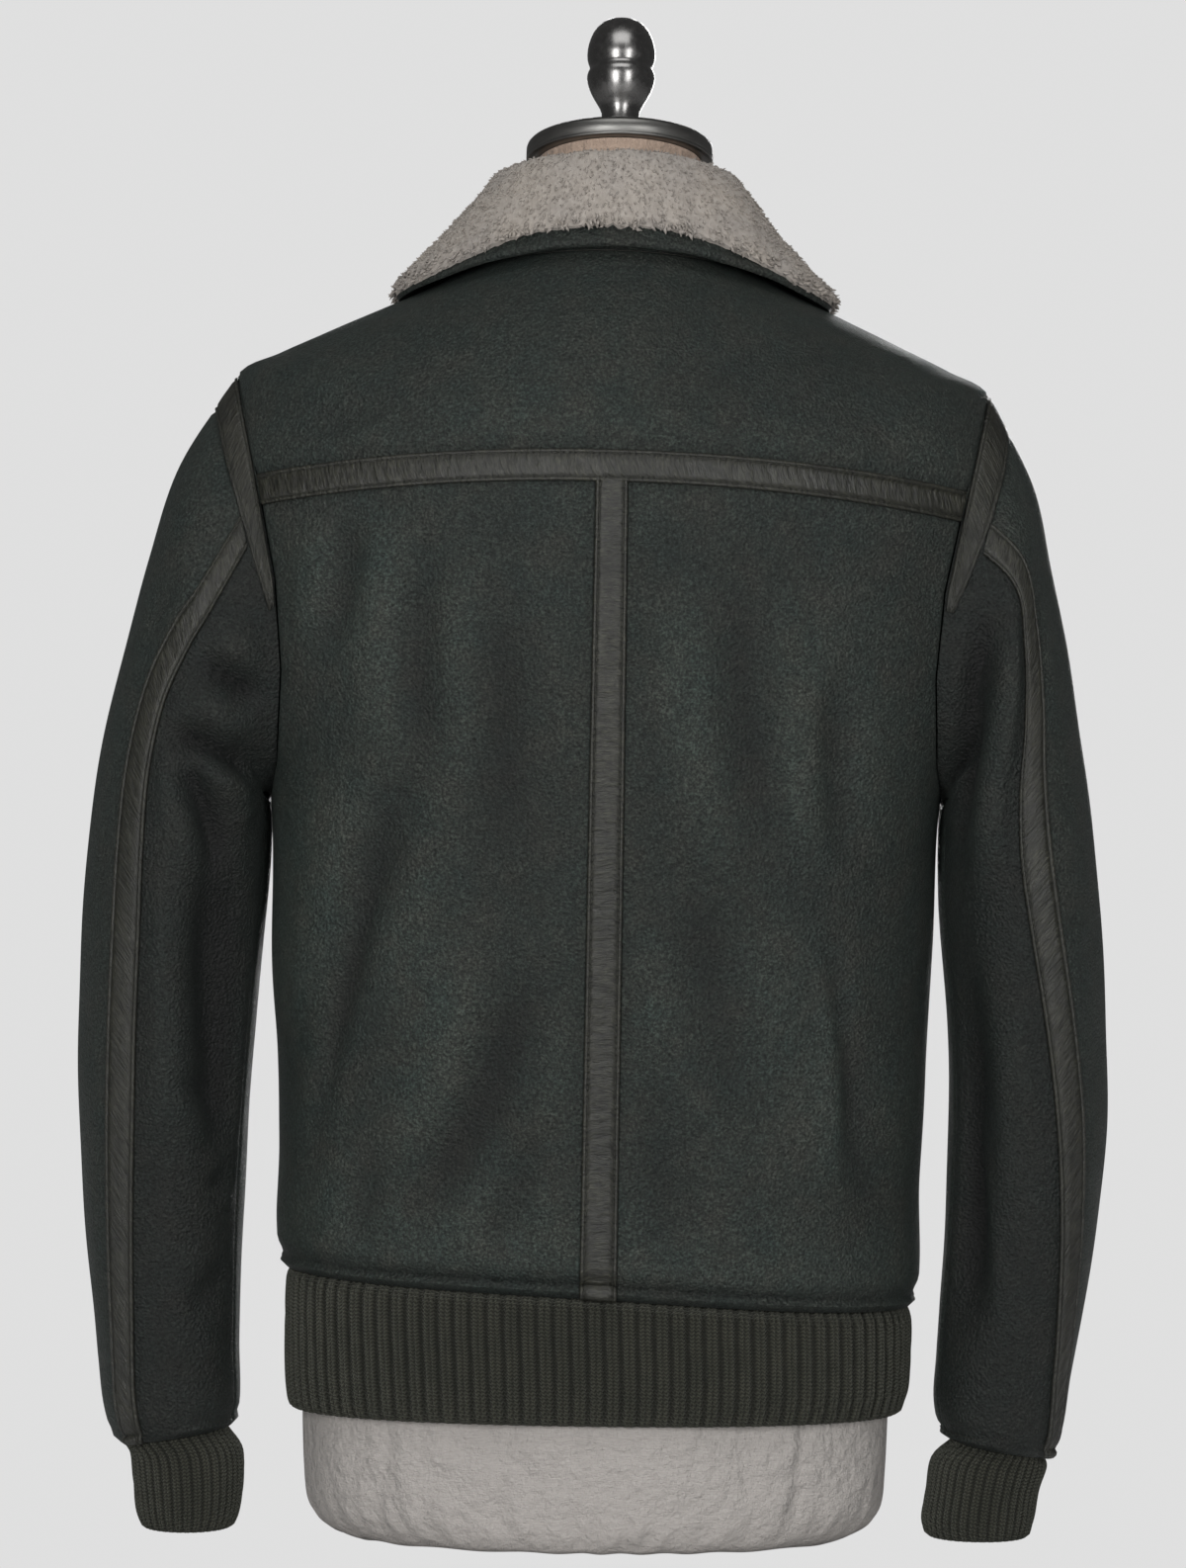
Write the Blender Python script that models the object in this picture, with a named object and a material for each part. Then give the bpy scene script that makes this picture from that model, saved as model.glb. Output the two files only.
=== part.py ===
"""A sheepskin coat on a limbless dress form, seen from behind along +Y.

The coat's body is one smooth surface through a stack of rings, and every
panel is a patch of it with a wall's thickness. The sleeves start at the
armholes cut in that surface. Strips and collar are made from the same points.
Metres, Z up. The wearer's back faces -Y and their right is +X.
"""
import math

import bmesh
import bpy
import numpy as np

# ---- walls and clearances -------------------------------------------------
WALL = 0.0040            # sheepskin: hide and clipped pile
RIB_WALL = 0.0030        # knitted bands
STRIP_WALL = 0.0014      # leather laid over the seams
HIDE_WALL = 0.0016       # the collar's hide
GAP = 0.0003             # clear space at each seam
SEAT = 0.0005            # between the form and the coat on its shoulders
LEAN = 0.0066            # the form leans to +X, metres per metre of height
TILT = 0.0160            # the shoulders drop towards +X, metres per metre across
TILT_HEIGHTS = (0.45, 0.62, 0.745, 0.80)  # where that tilt sets in and ends

# ---- seams and strips -----------------------------------------------------
BACK_STRIP_HALF = 0.0100
ZIP_HALF = 0.0090        # half the space between the front edges
STRIP_ARMHOLE_TOP = 0.0170
STRIP_ARMHOLE_LOW = 0.0085
SLEEVE_STRIP_HALF = 0.0082
STRIP_END = 0.0016       # the yoke's strip stops short of the armhole's
TUCK = 0.0080            # how far the knitted bands reach inside the panels

# The coat's outer face, from the hem seam up to the neck seam. A ring's height
# runs from z_back to z_front by way of z_side.
COAT = (
    # z_back z_side z_front half_w  back   front  power
    (0.1470, 0.1610, 0.1500, 0.1840, 0.1240, 0.1200, 2.40),
    (0.2350, 0.2400, 0.2350, 0.1865, 0.1300, 0.1250, 2.35),
    (0.3450, 0.3450, 0.3400, 0.1915, 0.1360, 0.1310, 2.30),
    (0.4320, 0.4300, 0.4250, 0.1945, 0.1400, 0.1370, 2.25),
    (0.4850, 0.4750, 0.4650, 0.2100, 0.1415, 0.1390, 2.20),
    (0.5350, 0.5220, 0.5050, 0.2220, 0.1415, 0.1390, 2.15),
    (0.5800, 0.5650, 0.5400, 0.2290, 0.1405, 0.1380, 2.10),
    (0.6177, 0.5970, 0.5660, 0.2320, 0.1380, 0.1370, 2.10),
    (0.6400, 0.6370, 0.5850, 0.2285, 0.1340, 0.1350, 2.05),
    (0.6570, 0.6710, 0.6020, 0.2195, 0.1290, 0.1320, 2.00),
    (0.6770, 0.6840, 0.6170, 0.1960, 0.1210, 0.1280, 2.00),
    (0.6970, 0.6970, 0.6310, 0.1680, 0.1110, 0.1220, 2.00),
    (0.7150, 0.7110, 0.6450, 0.1380, 0.0990, 0.1140, 2.00),
    (0.7310, 0.7245, 0.6570, 0.1090, 0.0860, 0.1030, 2.00),
    (0.7440, 0.7370, 0.6680, 0.0830, 0.0730, 0.0880, 2.00),
)
PIT, YOKE, TIP, NECK = 3, 7, 9, 14       # ring numbers of the seams

# Where the armhole seam runs: its distance from the middle at each height.
ARMHOLE = (
    # height  distance
    (0.4300, 0.1945),
    (0.4500, 0.1905),
    (0.5000, 0.1880),
    (0.5500, 0.1920),
    (0.6070, 0.2040),
    (0.6360, 0.2110),
    (0.6710, 0.2195),
)

# Rows of the panels, as ring numbers.
SIDE_ROWS = (0, 0.5, 1, 1.5, 2, 2.5)
STRIP_ROWS = (6.55, 6.78, 7)             # sleeve seam and its strip's edges
BACK_ARM_ROWS = (3, 3.06, 3.25, 3.6, 4.1, 4.8, 5.5, 6.1) + STRIP_ROWS
YOKE_ARM_ROWS = (7, 7.22, 7.8, 8.4, 8.8, 9)
FRONT_ARM_ROWS = (3, 3.06, 3.25, 3.7, 4.5, 5.5, 6.5, 7.4, 8.3, 8.8, 9)
SHOULDER_ROWS = (9.5, 10, 11, 12, 13, 14)
PANEL_SPLITS = (0.0, 0.25, 0.48, 0.69, 0.87, 1.0)

# The sleeves, ring by ring down from the armhole: the outermost and innermost
# points seen from behind, the ring's middle and half depth front to back.
# The strip angle is measured from the outermost point round by the back.
SLEEVE = {
    "left": (
        # x_out  z_out   x_in    z_in    y_mid    half_d  power strip_angle
        (0.2520, 0.6170, 0.1998, 0.4275, -0.0010, 0.0830, 2.2, 88.0),
        (0.2690, 0.5650, 0.1998, 0.4250, -0.0010, 0.0825, 2.2, 80.0),
        (0.2824, 0.5126, 0.1998, 0.4220, -0.0020, 0.0815, 2.2, 63.0),
        (0.2931, 0.4605, 0.1998, 0.4140, -0.0030, 0.0800, 2.2, 56.5),
        (0.3003, 0.4084, 0.1995, 0.3840, -0.0040, 0.0780, 2.2, 55.0),
        (0.3045, 0.3505, 0.1992, 0.3487, -0.0050, 0.0745, 2.2, 58.0),
        (0.3053, 0.2927, 0.2030, 0.2967, -0.0060, 0.0700, 2.2, 57.5),
        (0.3031, 0.2349, 0.2073, 0.2417, -0.0070, 0.0655, 2.2, 57.0),
        (0.2993, 0.1771, 0.2098, 0.1867, -0.0080, 0.0605, 2.2, 55.0),
        (0.2944, 0.1309, 0.2101, 0.1376, -0.0090, 0.0560, 2.2, 52.0),
        (0.2885, 0.0876, 0.2100, 0.0942, -0.0100, 0.0510, 2.2, 48.0),
        (0.2786, 0.0525, 0.2106, 0.0636, -0.0100, 0.0450, 2.2, 44.0),
    ),
    "right": (
        (0.2450, 0.6200, 0.1998, 0.4275, -0.0010, 0.0830, 2.2, 90.0),
        (0.2576, 0.5703, 0.1998, 0.4250, -0.0010, 0.0825, 2.2, 72.0),
        (0.2684, 0.5184, 0.1996, 0.4220, -0.0020, 0.0815, 2.2, 60.0),
        (0.2762, 0.4664, 0.1992, 0.4150, -0.0030, 0.0800, 2.2, 70.0),
        (0.2834, 0.4145, 0.1985, 0.3870, -0.0040, 0.0780, 2.2, 71.0),
        (0.2895, 0.3625, 0.1984, 0.3580, -0.0050, 0.0745, 2.2, 69.0),
        (0.2934, 0.3047, 0.2032, 0.3038, -0.0060, 0.0700, 2.2, 61.0),
        (0.2944, 0.2469, 0.2057, 0.2460, -0.0070, 0.0655, 2.2, 53.0),
        (0.2907, 0.1891, 0.2046, 0.1882, -0.0080, 0.0605, 2.2, 44.0),
        (0.2847, 0.1370, 0.2021, 0.1332, -0.0090, 0.0560, 2.2, 36.0),
        (0.2779, 0.0936, 0.2005, 0.0899, -0.0100, 0.0510, 2.2, 29.0),
        (0.2683, 0.0501, 0.2051, 0.0600, -0.0100, 0.0450, 2.2, 22.0),
    ),
}
UNDER_SEAM = 162.0       # angle of the seam under the arm, degrees

CUFF = {
    "left": (
        # x_out  z_out   x_in    z_in    y_mid    half_d  power
        (0.2692, 0.0460, 0.2062, 0.0490, -0.0100, 0.0405, 2.1),
        (0.2675, 0.0300, 0.2054, 0.0300, -0.0100, 0.0400, 2.1),
        (0.2656, 0.0130, 0.2074, 0.0130, -0.0100, 0.0385, 2.1),
        (0.2622, 0.0035, 0.2112, 0.0035, -0.0100, 0.0360, 2.1),
    ),
    "right": (
        (0.2628, 0.0440, 0.1975, 0.0480, -0.0100, 0.0405, 2.1),
        (0.2585, 0.0300, 0.1948, 0.0300, -0.0100, 0.0400, 2.1),
        (0.2560, 0.0130, 0.1925, 0.0130, -0.0100, 0.0385, 2.1),
        (0.2530, 0.0030, 0.1950, 0.0030, -0.0100, 0.0360, 2.1),
    ),
}

HEM_RIB = (
    # z_back z_side z_front half_w  back   front  power
    (0.1390, 0.1510, 0.1420, 0.1816, 0.1225, 0.1185, 2.40),
    (0.1050, 0.1050, 0.1050, 0.1812, 0.1210, 0.1175, 2.40),
    (0.0820, 0.0820, 0.0820, 0.1790, 0.1185, 0.1150, 2.40),
    (0.0743, 0.0743, 0.0743, 0.1765, 0.1160, 0.1125, 2.40),
)

# The collar's fold, from just above the neck seam, up the stand, over the
# fold and down the fall. The pile's depth is measured from this surface.
COLLAR = (
    # z_back z_side z_front half_w  back   front  power pile
    (0.7447, 0.7377, 0.6687, 0.0828, 0.0727, 0.0877, 2.0, 0.0030),
    (0.7680, 0.7600, 0.6900, 0.0720, 0.0650, 0.0800, 2.0, 0.0035),
    (0.7910, 0.7825, 0.7110, 0.0612, 0.0588, 0.0745, 2.0, 0.0045),
    (0.7975, 0.7892, 0.7170, 0.0648, 0.0618, 0.0780, 2.0, 0.0070),
    (0.7930, 0.7845, 0.7125, 0.0685, 0.0655, 0.0835, 2.0, 0.0085),
    (0.7730, 0.7600, 0.6840, 0.0878, 0.0740, 0.1010, 2.0, 0.0085),
    (0.7570, 0.7330, 0.6450, 0.1135, 0.0812, 0.1230, 2.0, 0.0075),
    (0.7465, 0.7195, 0.6280, 0.1275, 0.0855, 0.1330, 2.0, 0.0000),
)

# The dress form under the coat; above the shoulders it follows the coat.
FORM_BODY = (
    # z_back z_side z_front half_w  back   front  power
    (0.0000, 0.0000, 0.0000, 0.1430, 0.0960, 0.0920, 2.05),
    (0.0035, 0.0035, 0.0035, 0.1530, 0.1030, 0.0990, 2.05),
    (0.0120, 0.0120, 0.0120, 0.1620, 0.1075, 0.1040, 2.15),
    (0.0280, 0.0280, 0.0280, 0.1685, 0.1090, 0.1060, 2.25),
    (0.0750, 0.0750, 0.0750, 0.1715, 0.1100, 0.1070, 2.30),
    (0.1500, 0.1500, 0.1500, 0.1725, 0.1130, 0.1090, 2.30),
    (0.2500, 0.2500, 0.2500, 0.1740, 0.1180, 0.1150, 2.30),
    (0.3500, 0.3500, 0.3450, 0.1780, 0.1230, 0.1210, 2.25),
    (0.4300, 0.4300, 0.4200, 0.1825, 0.1270, 0.1260, 2.25),
    (0.5000, 0.5000, 0.4800, 0.1860, 0.1290, 0.1280, 2.25),
    (0.5600, 0.5600, 0.5250, 0.1890, 0.1290, 0.1280, 2.20),
    (0.6100, 0.6100, 0.5620, 0.1940, 0.1280, 0.1270, 2.15),
    (0.6420, 0.6430, 0.5850, 0.2050, 0.1250, 0.1260, 2.10),
)
FORM_SHOULDER_ROWS = (9.5, 10, 11, 12, 13)
FORM_NECK = (
    (0.7420, 0.7330, 0.6670, 0.0700, 0.0610, 0.0730, 2.00),
    (0.7620, 0.7560, 0.7050, 0.0550, 0.0525, 0.0560, 2.00),
    (0.7850, 0.7780, 0.7500, 0.0485, 0.0485, 0.0485, 2.00),
)
NECK_TOP = 0.8010        # height of the neck's middle under the cap
NECK_SIDE = 0.0016       # and how far that stands to +X of the form's line
NECK_RADIUS = 0.0480
CAP_TILT = 13.0          # degrees, high at the back
CAP_RADIUS = 0.0546
CAP_THICK = 0.0120

# Turned profile of the finial: radius and height above the cap.
FINIAL = (
    # radius  height
    (0.0135, 0.0000),
    (0.0135, 0.0016),
    (0.0112, 0.0050),
    (0.0108, 0.0120),
    (0.0112, 0.0200),
    (0.0136, 0.0245),
    (0.0165, 0.0295),
    (0.0186, 0.0340),
    (0.0197, 0.0385),
    (0.0199, 0.0415),
    (0.0191, 0.0440),
    (0.0185, 0.0465),
    (0.0191, 0.0500),
    (0.0199, 0.0535),
    (0.0197, 0.0580),
    (0.0189, 0.0635),
    (0.0170, 0.0690),
    (0.0136, 0.0735),
    (0.0085, 0.0762),
)
FINIAL_SIDES = 28

SLIDER_ROW = 12.55       # where the closed zip's slider sits
SLIDER = (0.0092, 0.0130, 0.0034)        # width, length, thickness
PULL = (0.0042, 0.0270, 0.0014)
PULL_REST = 10.5         # degrees the tab dips towards the coat at rest
PIN_RADIUS = 0.0009
EYE_RADIUS = 0.0022
EYE_HOLE = 0.0012

COLOURS = {
    "suede": (0.035, 0.041, 0.038),
    "leather": (0.052, 0.053, 0.045),
    "knit": (0.024, 0.026, 0.020),
    "pile": (0.42, 0.38, 0.34),
    "linen": (0.50, 0.47, 0.45),
    "steel": (0.16, 0.16, 0.16),
    "chrome": (0.45, 0.45, 0.45),
    "tape": (0.02, 0.022, 0.02),
}


# ---- surfaces -------------------------------------------------------------
def table_row(table, t):
    """The table's row at a ring number that need not be whole."""
    last = len(table) - 1
    i = min(int(t), last - 1)
    f = t - i
    p0, p1, p2, p3 = (np.array(table[min(max(k, 0), last)])
                      for k in (i - 1, i, i + 1, i + 2))
    return p1 + 0.5 * f * (p2 - p0 + f * (2 * p0 - 5 * p1 + 4 * p2 - p3
                                          + f * (3 * (p1 - p2) + p3 - p0)))


def power(value, n):
    """Cosine or sine bent to a squarer or rounder ring."""
    return math.copysign(abs(value) ** (2.0 / n), value)


def lean(x, y, z):
    """Stand a point of the upright coat where the worn one has it."""
    tilt = TILT * np.interp(z, TILT_HEIGHTS, (0.0, 1.0, 1.0, 0.0))
    return np.array((x + LEAN * z, y, z - tilt * x))


def ring_point(row, angle):
    """A point of a ring: 0 at the middle of the back, 90 at the +X side."""
    z_back, z_side, z_front, half_w, back, front, n = row[:7]
    s, c = math.sin(angle), math.cos(angle)
    depth, z_end = (back, z_back) if c > 0 else (front, z_front)
    return lean(half_w * power(s, n), -depth * power(c, n),
                z_side + (z_end - z_side) * c * c)


def coat_point(angle, t):
    return ring_point(table_row(COAT, t), angle)


def coat_normal(angle, t):
    """Outward direction of the coat's surface."""
    du, dt = 0.004, 0.02
    low, high = max(t - dt, 0), min(t + dt, NECK)
    across = coat_point(angle + du, t) - coat_point(angle - du, t)
    along = coat_point(angle, high) - coat_point(angle, low)
    n = np.cross(across, along)
    return n / np.linalg.norm(n)


def edge_angle(t, front):
    """Angle of the +X side seam, armhole or shoulder seam on ring t."""
    if t <= PIT or t >= TIP:
        return math.pi / 2
    row = table_row(COAT, t)
    heights, distances = zip(*ARMHOLE)
    inner, outer = (math.pi, math.pi / 2) if front else (0.0, math.pi / 2)
    for _ in range(40):
        middle = 0.5 * (inner + outer)
        x, y, z = ring_point(row, middle)
        if x - LEAN * z < np.interp(z, heights, distances):
            inner = middle
        else:
            outer = middle
    return 0.5 * (inner + outer)


def offset_angle(row, distance, front):
    """A ring's angle at a set distance from the middle of its back or front."""
    inside = min(0.9, (distance / row[3]) ** (row[6] / 2.0))
    return math.pi - math.asin(inside) if front else math.asin(inside)


# ---- solids ---------------------------------------------------------------
MATERIALS = {}


def material(name):
    if name not in MATERIALS:
        made = bpy.data.materials.new(name)
        made.use_nodes = True
        shader = made.node_tree.nodes["Principled BSDF"]
        shader.inputs["Base Color"].default_value = (*COLOURS[name], 1.0)
        shader.inputs["Roughness"].default_value = 0.35 if name in ("steel", "chrome") else 0.8
        shader.inputs["Metallic"].default_value = 1.0 if name in ("steel", "chrome") else 0.0
        MATERIALS[name] = made
    return MATERIALS[name]


def add_mesh(name, points, faces, slot):
    mesh = bpy.data.meshes.new(name)
    mesh.from_pydata([tuple(map(float, p)) for p in points], [], faces)
    work = bmesh.new()
    work.from_mesh(mesh)
    bmesh.ops.recalc_face_normals(work, faces=work.faces)
    if work.calc_volume(signed=True) < 0:
        bmesh.ops.reverse_faces(work, faces=work.faces)
    work.to_mesh(mesh)
    work.free()
    body = bpy.data.objects.new(name, mesh)
    bpy.context.scene.collection.objects.link(body)
    body.data.materials.append(material(slot))
    return body


def lower_first(a, b):
    """Whether a is the lower; neighbours split the quads of a seam alike."""
    step = b - a
    return step[2] > 0 if abs(step[2]) > 1e-4 else step[0] + 0.1 * step[1] > 0


def halves(points, a, b, c, d):
    """A quad's two triangles, split along its shorter diagonal."""
    if np.linalg.norm(points[a] - points[c]) < np.linalg.norm(points[b] - points[d]):
        return [(a, b, c), (a, c, d)]
    return [(a, b, d), (b, c, d)]


def shell(name, outer, inner, slot, closed=False):
    """A sheet's solid from the grids of its two faces."""
    outer, inner = np.array(outer), np.array(inner)
    rows, cols = outer.shape[:2]
    points = list(outer.reshape(-1, 3)) + list(inner.reshape(-1, 3))
    size = rows * cols
    faces = []
    for i in range(rows - 1):
        for j in range(cols if closed else cols - 1):
            k = (j + 1) % cols
            a, b, c, d = i * cols + j, i * cols + k, (i + 1) * cols + k, (i + 1) * cols + j
            pair = halves(points, a, b, c, d)
            faces += pair
            faces += [tuple(size + p for p in half[::-1]) for half in pair]
    if closed:
        rims = [[0 + j for j in range(cols)], [size - 1 - j for j in range(cols)]]
    else:
        rims = [[j for j in range(cols)] + [i * cols + cols - 1 for i in range(1, rows)]
                + [size - 1 - j for j in range(1, cols)]
                + [i * cols for i in range(rows - 2, 0, -1)]]
    for rim in rims:
        for n, a in enumerate(rim):
            b = rim[(n + 1) % len(rim)]
            if lower_first(points[a], points[b]):
                faces += [(a, size + a, size + b), (a, size + b, b)]
            else:
                faces += [(a, size + a, b), (b, size + a, size + b)]
    return add_mesh(name, points, faces, slot)


def pulled(outer, inner, sides, gap=GAP / 2):
    """Both faces drawn back from their neighbours by half the seam's gap."""
    outer, inner = np.array(outer), np.array(inner)
    steps = {"first_row": (np.s_[0, :], np.s_[1, :]), "last_row": (np.s_[-1, :], np.s_[-2, :]),
             "first_col": (np.s_[:, 0], np.s_[:, 1]), "last_col": (np.s_[:, -1], np.s_[:, -2])}
    moves = np.zeros_like(outer)
    for side in sides:
        edge, beside = steps[side]
        way = outer[beside] - outer[edge]
        moves[edge] += gap * way / np.linalg.norm(way, axis=-1, keepdims=True)
    return outer + moves, inner + moves


def grid_normals(grid, closed=False):
    """Outward directions of a grid of points whose rows run down or round."""
    grid = np.array(grid)
    if closed:
        across = np.roll(grid, -1, axis=1) - np.roll(grid, 1, axis=1)
    else:
        across = np.gradient(grid, axis=1)
    along = np.gradient(grid, axis=0)
    n = np.cross(across, along)
    return n / np.linalg.norm(n, axis=-1, keepdims=True)


def laid_on(name, points, normals, slot):
    """A leather strip lying just clear of the panels it covers."""
    points, normals = np.array(points), np.array(normals)
    near, far = 1.3 * GAP, 1.3 * GAP + STRIP_WALL
    return shell(name, points + normals * far, points + normals * near, slot)


def joined(name, parts):
    """One solid from overlapping ones."""
    base = parts[0]
    for other in parts[1:]:
        union = base.modifiers.new("union", "BOOLEAN")
        union.operation = "UNION"
        union.solver = "EXACT"
        union.object = other
        bpy.context.view_layer.update()
        done = bpy.data.meshes.new_from_object(
            base.evaluated_get(bpy.context.evaluated_depsgraph_get()))
        base.modifiers.remove(union)
        base.data = done
        bpy.data.objects.remove(other)
    base.name = name
    return base


def turned(name, profile, sides, place, slot):
    """A body of revolution: profile rows are radius and height."""
    points = [place(0, 0, profile[0][1])]
    for radius, height in profile:
        for k in range(sides):
            a = 2 * math.pi * k / sides
            points.append(place(radius * math.sin(a), -radius * math.cos(a), height))
    points.append(place(0, 0, profile[-1][1]))
    faces = []
    for k in range(sides):
        n = (k + 1) % sides
        faces.append((0, 1 + n, 1 + k))
        for i in range(len(profile) - 1):
            a, b = 1 + i * sides + k, 1 + i * sides + n
            faces += [(a, b, b + sides), (a, b + sides, a + sides)]
        top = 1 + (len(profile) - 1) * sides
        faces.append((top + k, top + n, len(points) - 1))
    return add_mesh(name, points, faces, slot)


# ---- the coat's body ------------------------------------------------------
def coat_patch(rows, columns):
    """Grids of points and outward directions; columns(t) lists the angles."""
    angles = [columns(t) for t in rows]
    points = [[coat_point(u, t) for u in line] for t, line in zip(rows, angles)]
    normals = [[coat_normal(u, t) for u in line] for t, line in zip(rows, angles)]
    return np.array(points), np.array(normals)


def back_columns(t):
    first = offset_angle(table_row(COAT, t), BACK_STRIP_HALF, False)
    edge = edge_angle(t, False)
    return [0.0] + [first + (edge - first) * f for f in PANEL_SPLITS]


def yoke_columns(t):
    right = back_columns(t)
    return [-u for u in right[:0:-1]] + right


def front_columns(t):
    first = offset_angle(table_row(COAT, t), ZIP_HALF, True)
    edge = edge_angle(t, True)
    return [edge + (first - edge) * (1 - f) for f in PANEL_SPLITS[::-1]]


def mirrored(columns):
    return lambda t: [-u for u in columns(t)][::-1]


def build_body(sleeves):
    rows_back = SIDE_ROWS + BACK_ARM_ROWS
    rows_yoke = YOKE_ARM_ROWS + SHOULDER_ROWS
    rows_front = SIDE_ROWS + FRONT_ARM_ROWS + SHOULDER_ROWS
    patches = {}
    for side, sign in (("right", 1), ("left", -1)):
        columns = back_columns if sign > 0 else mirrored(back_columns)
        points, normals = coat_patch(rows_back, columns)
        patches["back_" + side] = (points, normals, rows_back)
        columns = front_columns if sign > 0 else mirrored(front_columns)
        points, normals = coat_patch(rows_front, columns)
        patches["front_" + side] = (points, normals, rows_front)
    points, normals = coat_patch(rows_yoke, yoke_columns)
    patches["yoke"] = (points, normals, rows_yoke)

    held = {
        "back_right": ("first_col", "last_row"), "back_left": ("last_col", "last_row"),
        "front_right": (), "front_left": (), "yoke": ("first_row",),
    }
    for name, (points, normals, rows) in patches.items():
        walls = normals.copy()
        for side, sign in (("right", 1), ("left", -1)):
            if name == "yoke":
                column = -1 if sign > 0 else 0
            elif name.endswith(side):
                column = -1 if (sign > 0) == name.startswith("back") else 0
            else:
                continue
            front = name.startswith("front")
            for i, t in enumerate(rows):
                if PIT < t <= TIP:
                    shared = sleeves[side]["seam"][(t, front or t == TIP)]
                    walls[i, column] = normals[i, column] if shared is None else shared
        outer, inner = pulled(points, points - walls * WALL, held[name])
        outer, inner = side_seams(name, outer, inner, rows)
        shell(name, outer, inner, "suede")
    return patches


def side_seams(name, outer, inner, rows):
    """Clear space at the side seams, under the arm, and at the shoulders."""
    edges = []
    if name == "yoke":
        edges = [(0, 1, TIP, NECK), (-1, -2, TIP, NECK)]
    elif name in ("back_right", "front_left"):
        edges = [(-1, -2, 0, PIT)] + ([(-1, -2, TIP, NECK)] if "front" in name else [])
    elif name in ("back_left", "front_right"):
        edges = [(0, 1, 0, PIT)] + ([(0, 1, TIP, NECK)] if "front" in name else [])
    for column, beside, low, high in edges:
        for i, t in enumerate(rows):
            if low <= t <= high:
                way = outer[i, beside] - outer[i, column]
                move = (GAP / 2) * way / np.linalg.norm(way)
                outer[i, column] += move
                inner[i, column] += move
    return outer, inner


# ---- sleeves --------------------------------------------------------------
def sleeve_ring_point(row, angle, sign):
    """A point of a sleeve's ring: 0 outermost, 90 at the back, 180 innermost."""
    x_out, z_out, x_in, z_in, y_mid, half_d, n = row[:7]
    c, s = power(math.cos(angle), n), power(math.sin(angle), n)
    x = 0.5 * (x_out + x_in) + 0.5 * (x_out - x_in) * c
    z = 0.5 * (z_out + z_in) + 0.5 * (z_out - z_in) * c
    return lean(sign * x, y_mid - half_d * s, z)


def armhole_columns():
    """Ring numbers round the armhole from the sleeve seam, down and about."""
    down = [t for t in (YOKE_ARM_ROWS[:0:-1] + BACK_ARM_ROWS[::-1])]
    seam = down.index(STRIP_ROWS[1])
    under = [(t, False) for t in down[seam:]]
    upper = [(t, True) for t in FRONT_ARM_ROWS[1:]] + [(t, False) for t in down[1:seam]]
    return under + upper, len(under) - 1


def sleeve_grid(side, sign):
    columns, pit = armhole_columns()
    first = []
    turns = []
    for t, front in columns:
        u = edge_angle(t, front)
        point = coat_point(sign * u, t)
        first.append(point + np.array((sign * 1.5 * GAP, 0, 0)))
        height = (point[2] - 0.5505) / 0.1205
        turns.append(math.degrees(math.atan2(-point[1] / 0.08, height)) % 360)
    seam_turn = turns[0]
    rows = [first]
    for ring in SLEEVE[side]:
        angles = []
        strip = ring[7]
        for k, turn in enumerate(turns):
            if k <= pit:
                f = (turn - seam_turn) / (180.0 - seam_turn)
                angles.append(strip + f * (UNDER_SEAM - strip))
            else:
                f = (turn - 180.0) % 360 / (seam_turn + 180.0)
                angles.append(UNDER_SEAM + f * (strip + 360.0 - UNDER_SEAM))
        middle = sleeve_ring_point(ring, math.radians(strip), sign)
        beside = sleeve_ring_point(ring, math.radians(strip + 1.0), sign)
        reach = SLEEVE_STRIP_HALF / np.linalg.norm(beside - middle)
        angles[1] = strip + reach
        angles[-1] = strip - reach + 360.0
        rows.append([sleeve_ring_point(ring, math.radians(a), sign) for a in angles])
    rows = np.array(rows)
    # The edge of the armhole's strip is a row of its own.
    strip_row = []
    for k, (t, front) in enumerate(columns):
        height = rows[0][k][2]
        width = np.interp(height, (0.45, 0.60, 0.67),
                          (STRIP_ARMHOLE_LOW * 0.8, STRIP_ARMHOLE_LOW, STRIP_ARMHOLE_TOP))
        way = rows[1][k] - rows[0][k]
        reach = np.linalg.norm(way)
        strip_row.append(rows[0][k] + way * min(width / reach, 0.55))
    rows = np.insert(rows, 1, np.array(strip_row), axis=0)
    normals = grid_normals(rows, closed=True) * sign
    # On a ridge the sleeve's wall and the panel's share one direction.
    seam = {}
    for k, (t, front) in enumerate(columns):
        own = coat_normal(sign * edge_angle(t, front), t)
        both = own + normals[0][k]
        ridge = t > PIT and np.dot(rows[1][k] - rows[0][k], own) < 0
        seam[(t, front)] = both / np.linalg.norm(both) if ridge else None
    return {"points": rows, "normals": normals, "columns": columns, "pit": pit, "seam": seam}


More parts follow.
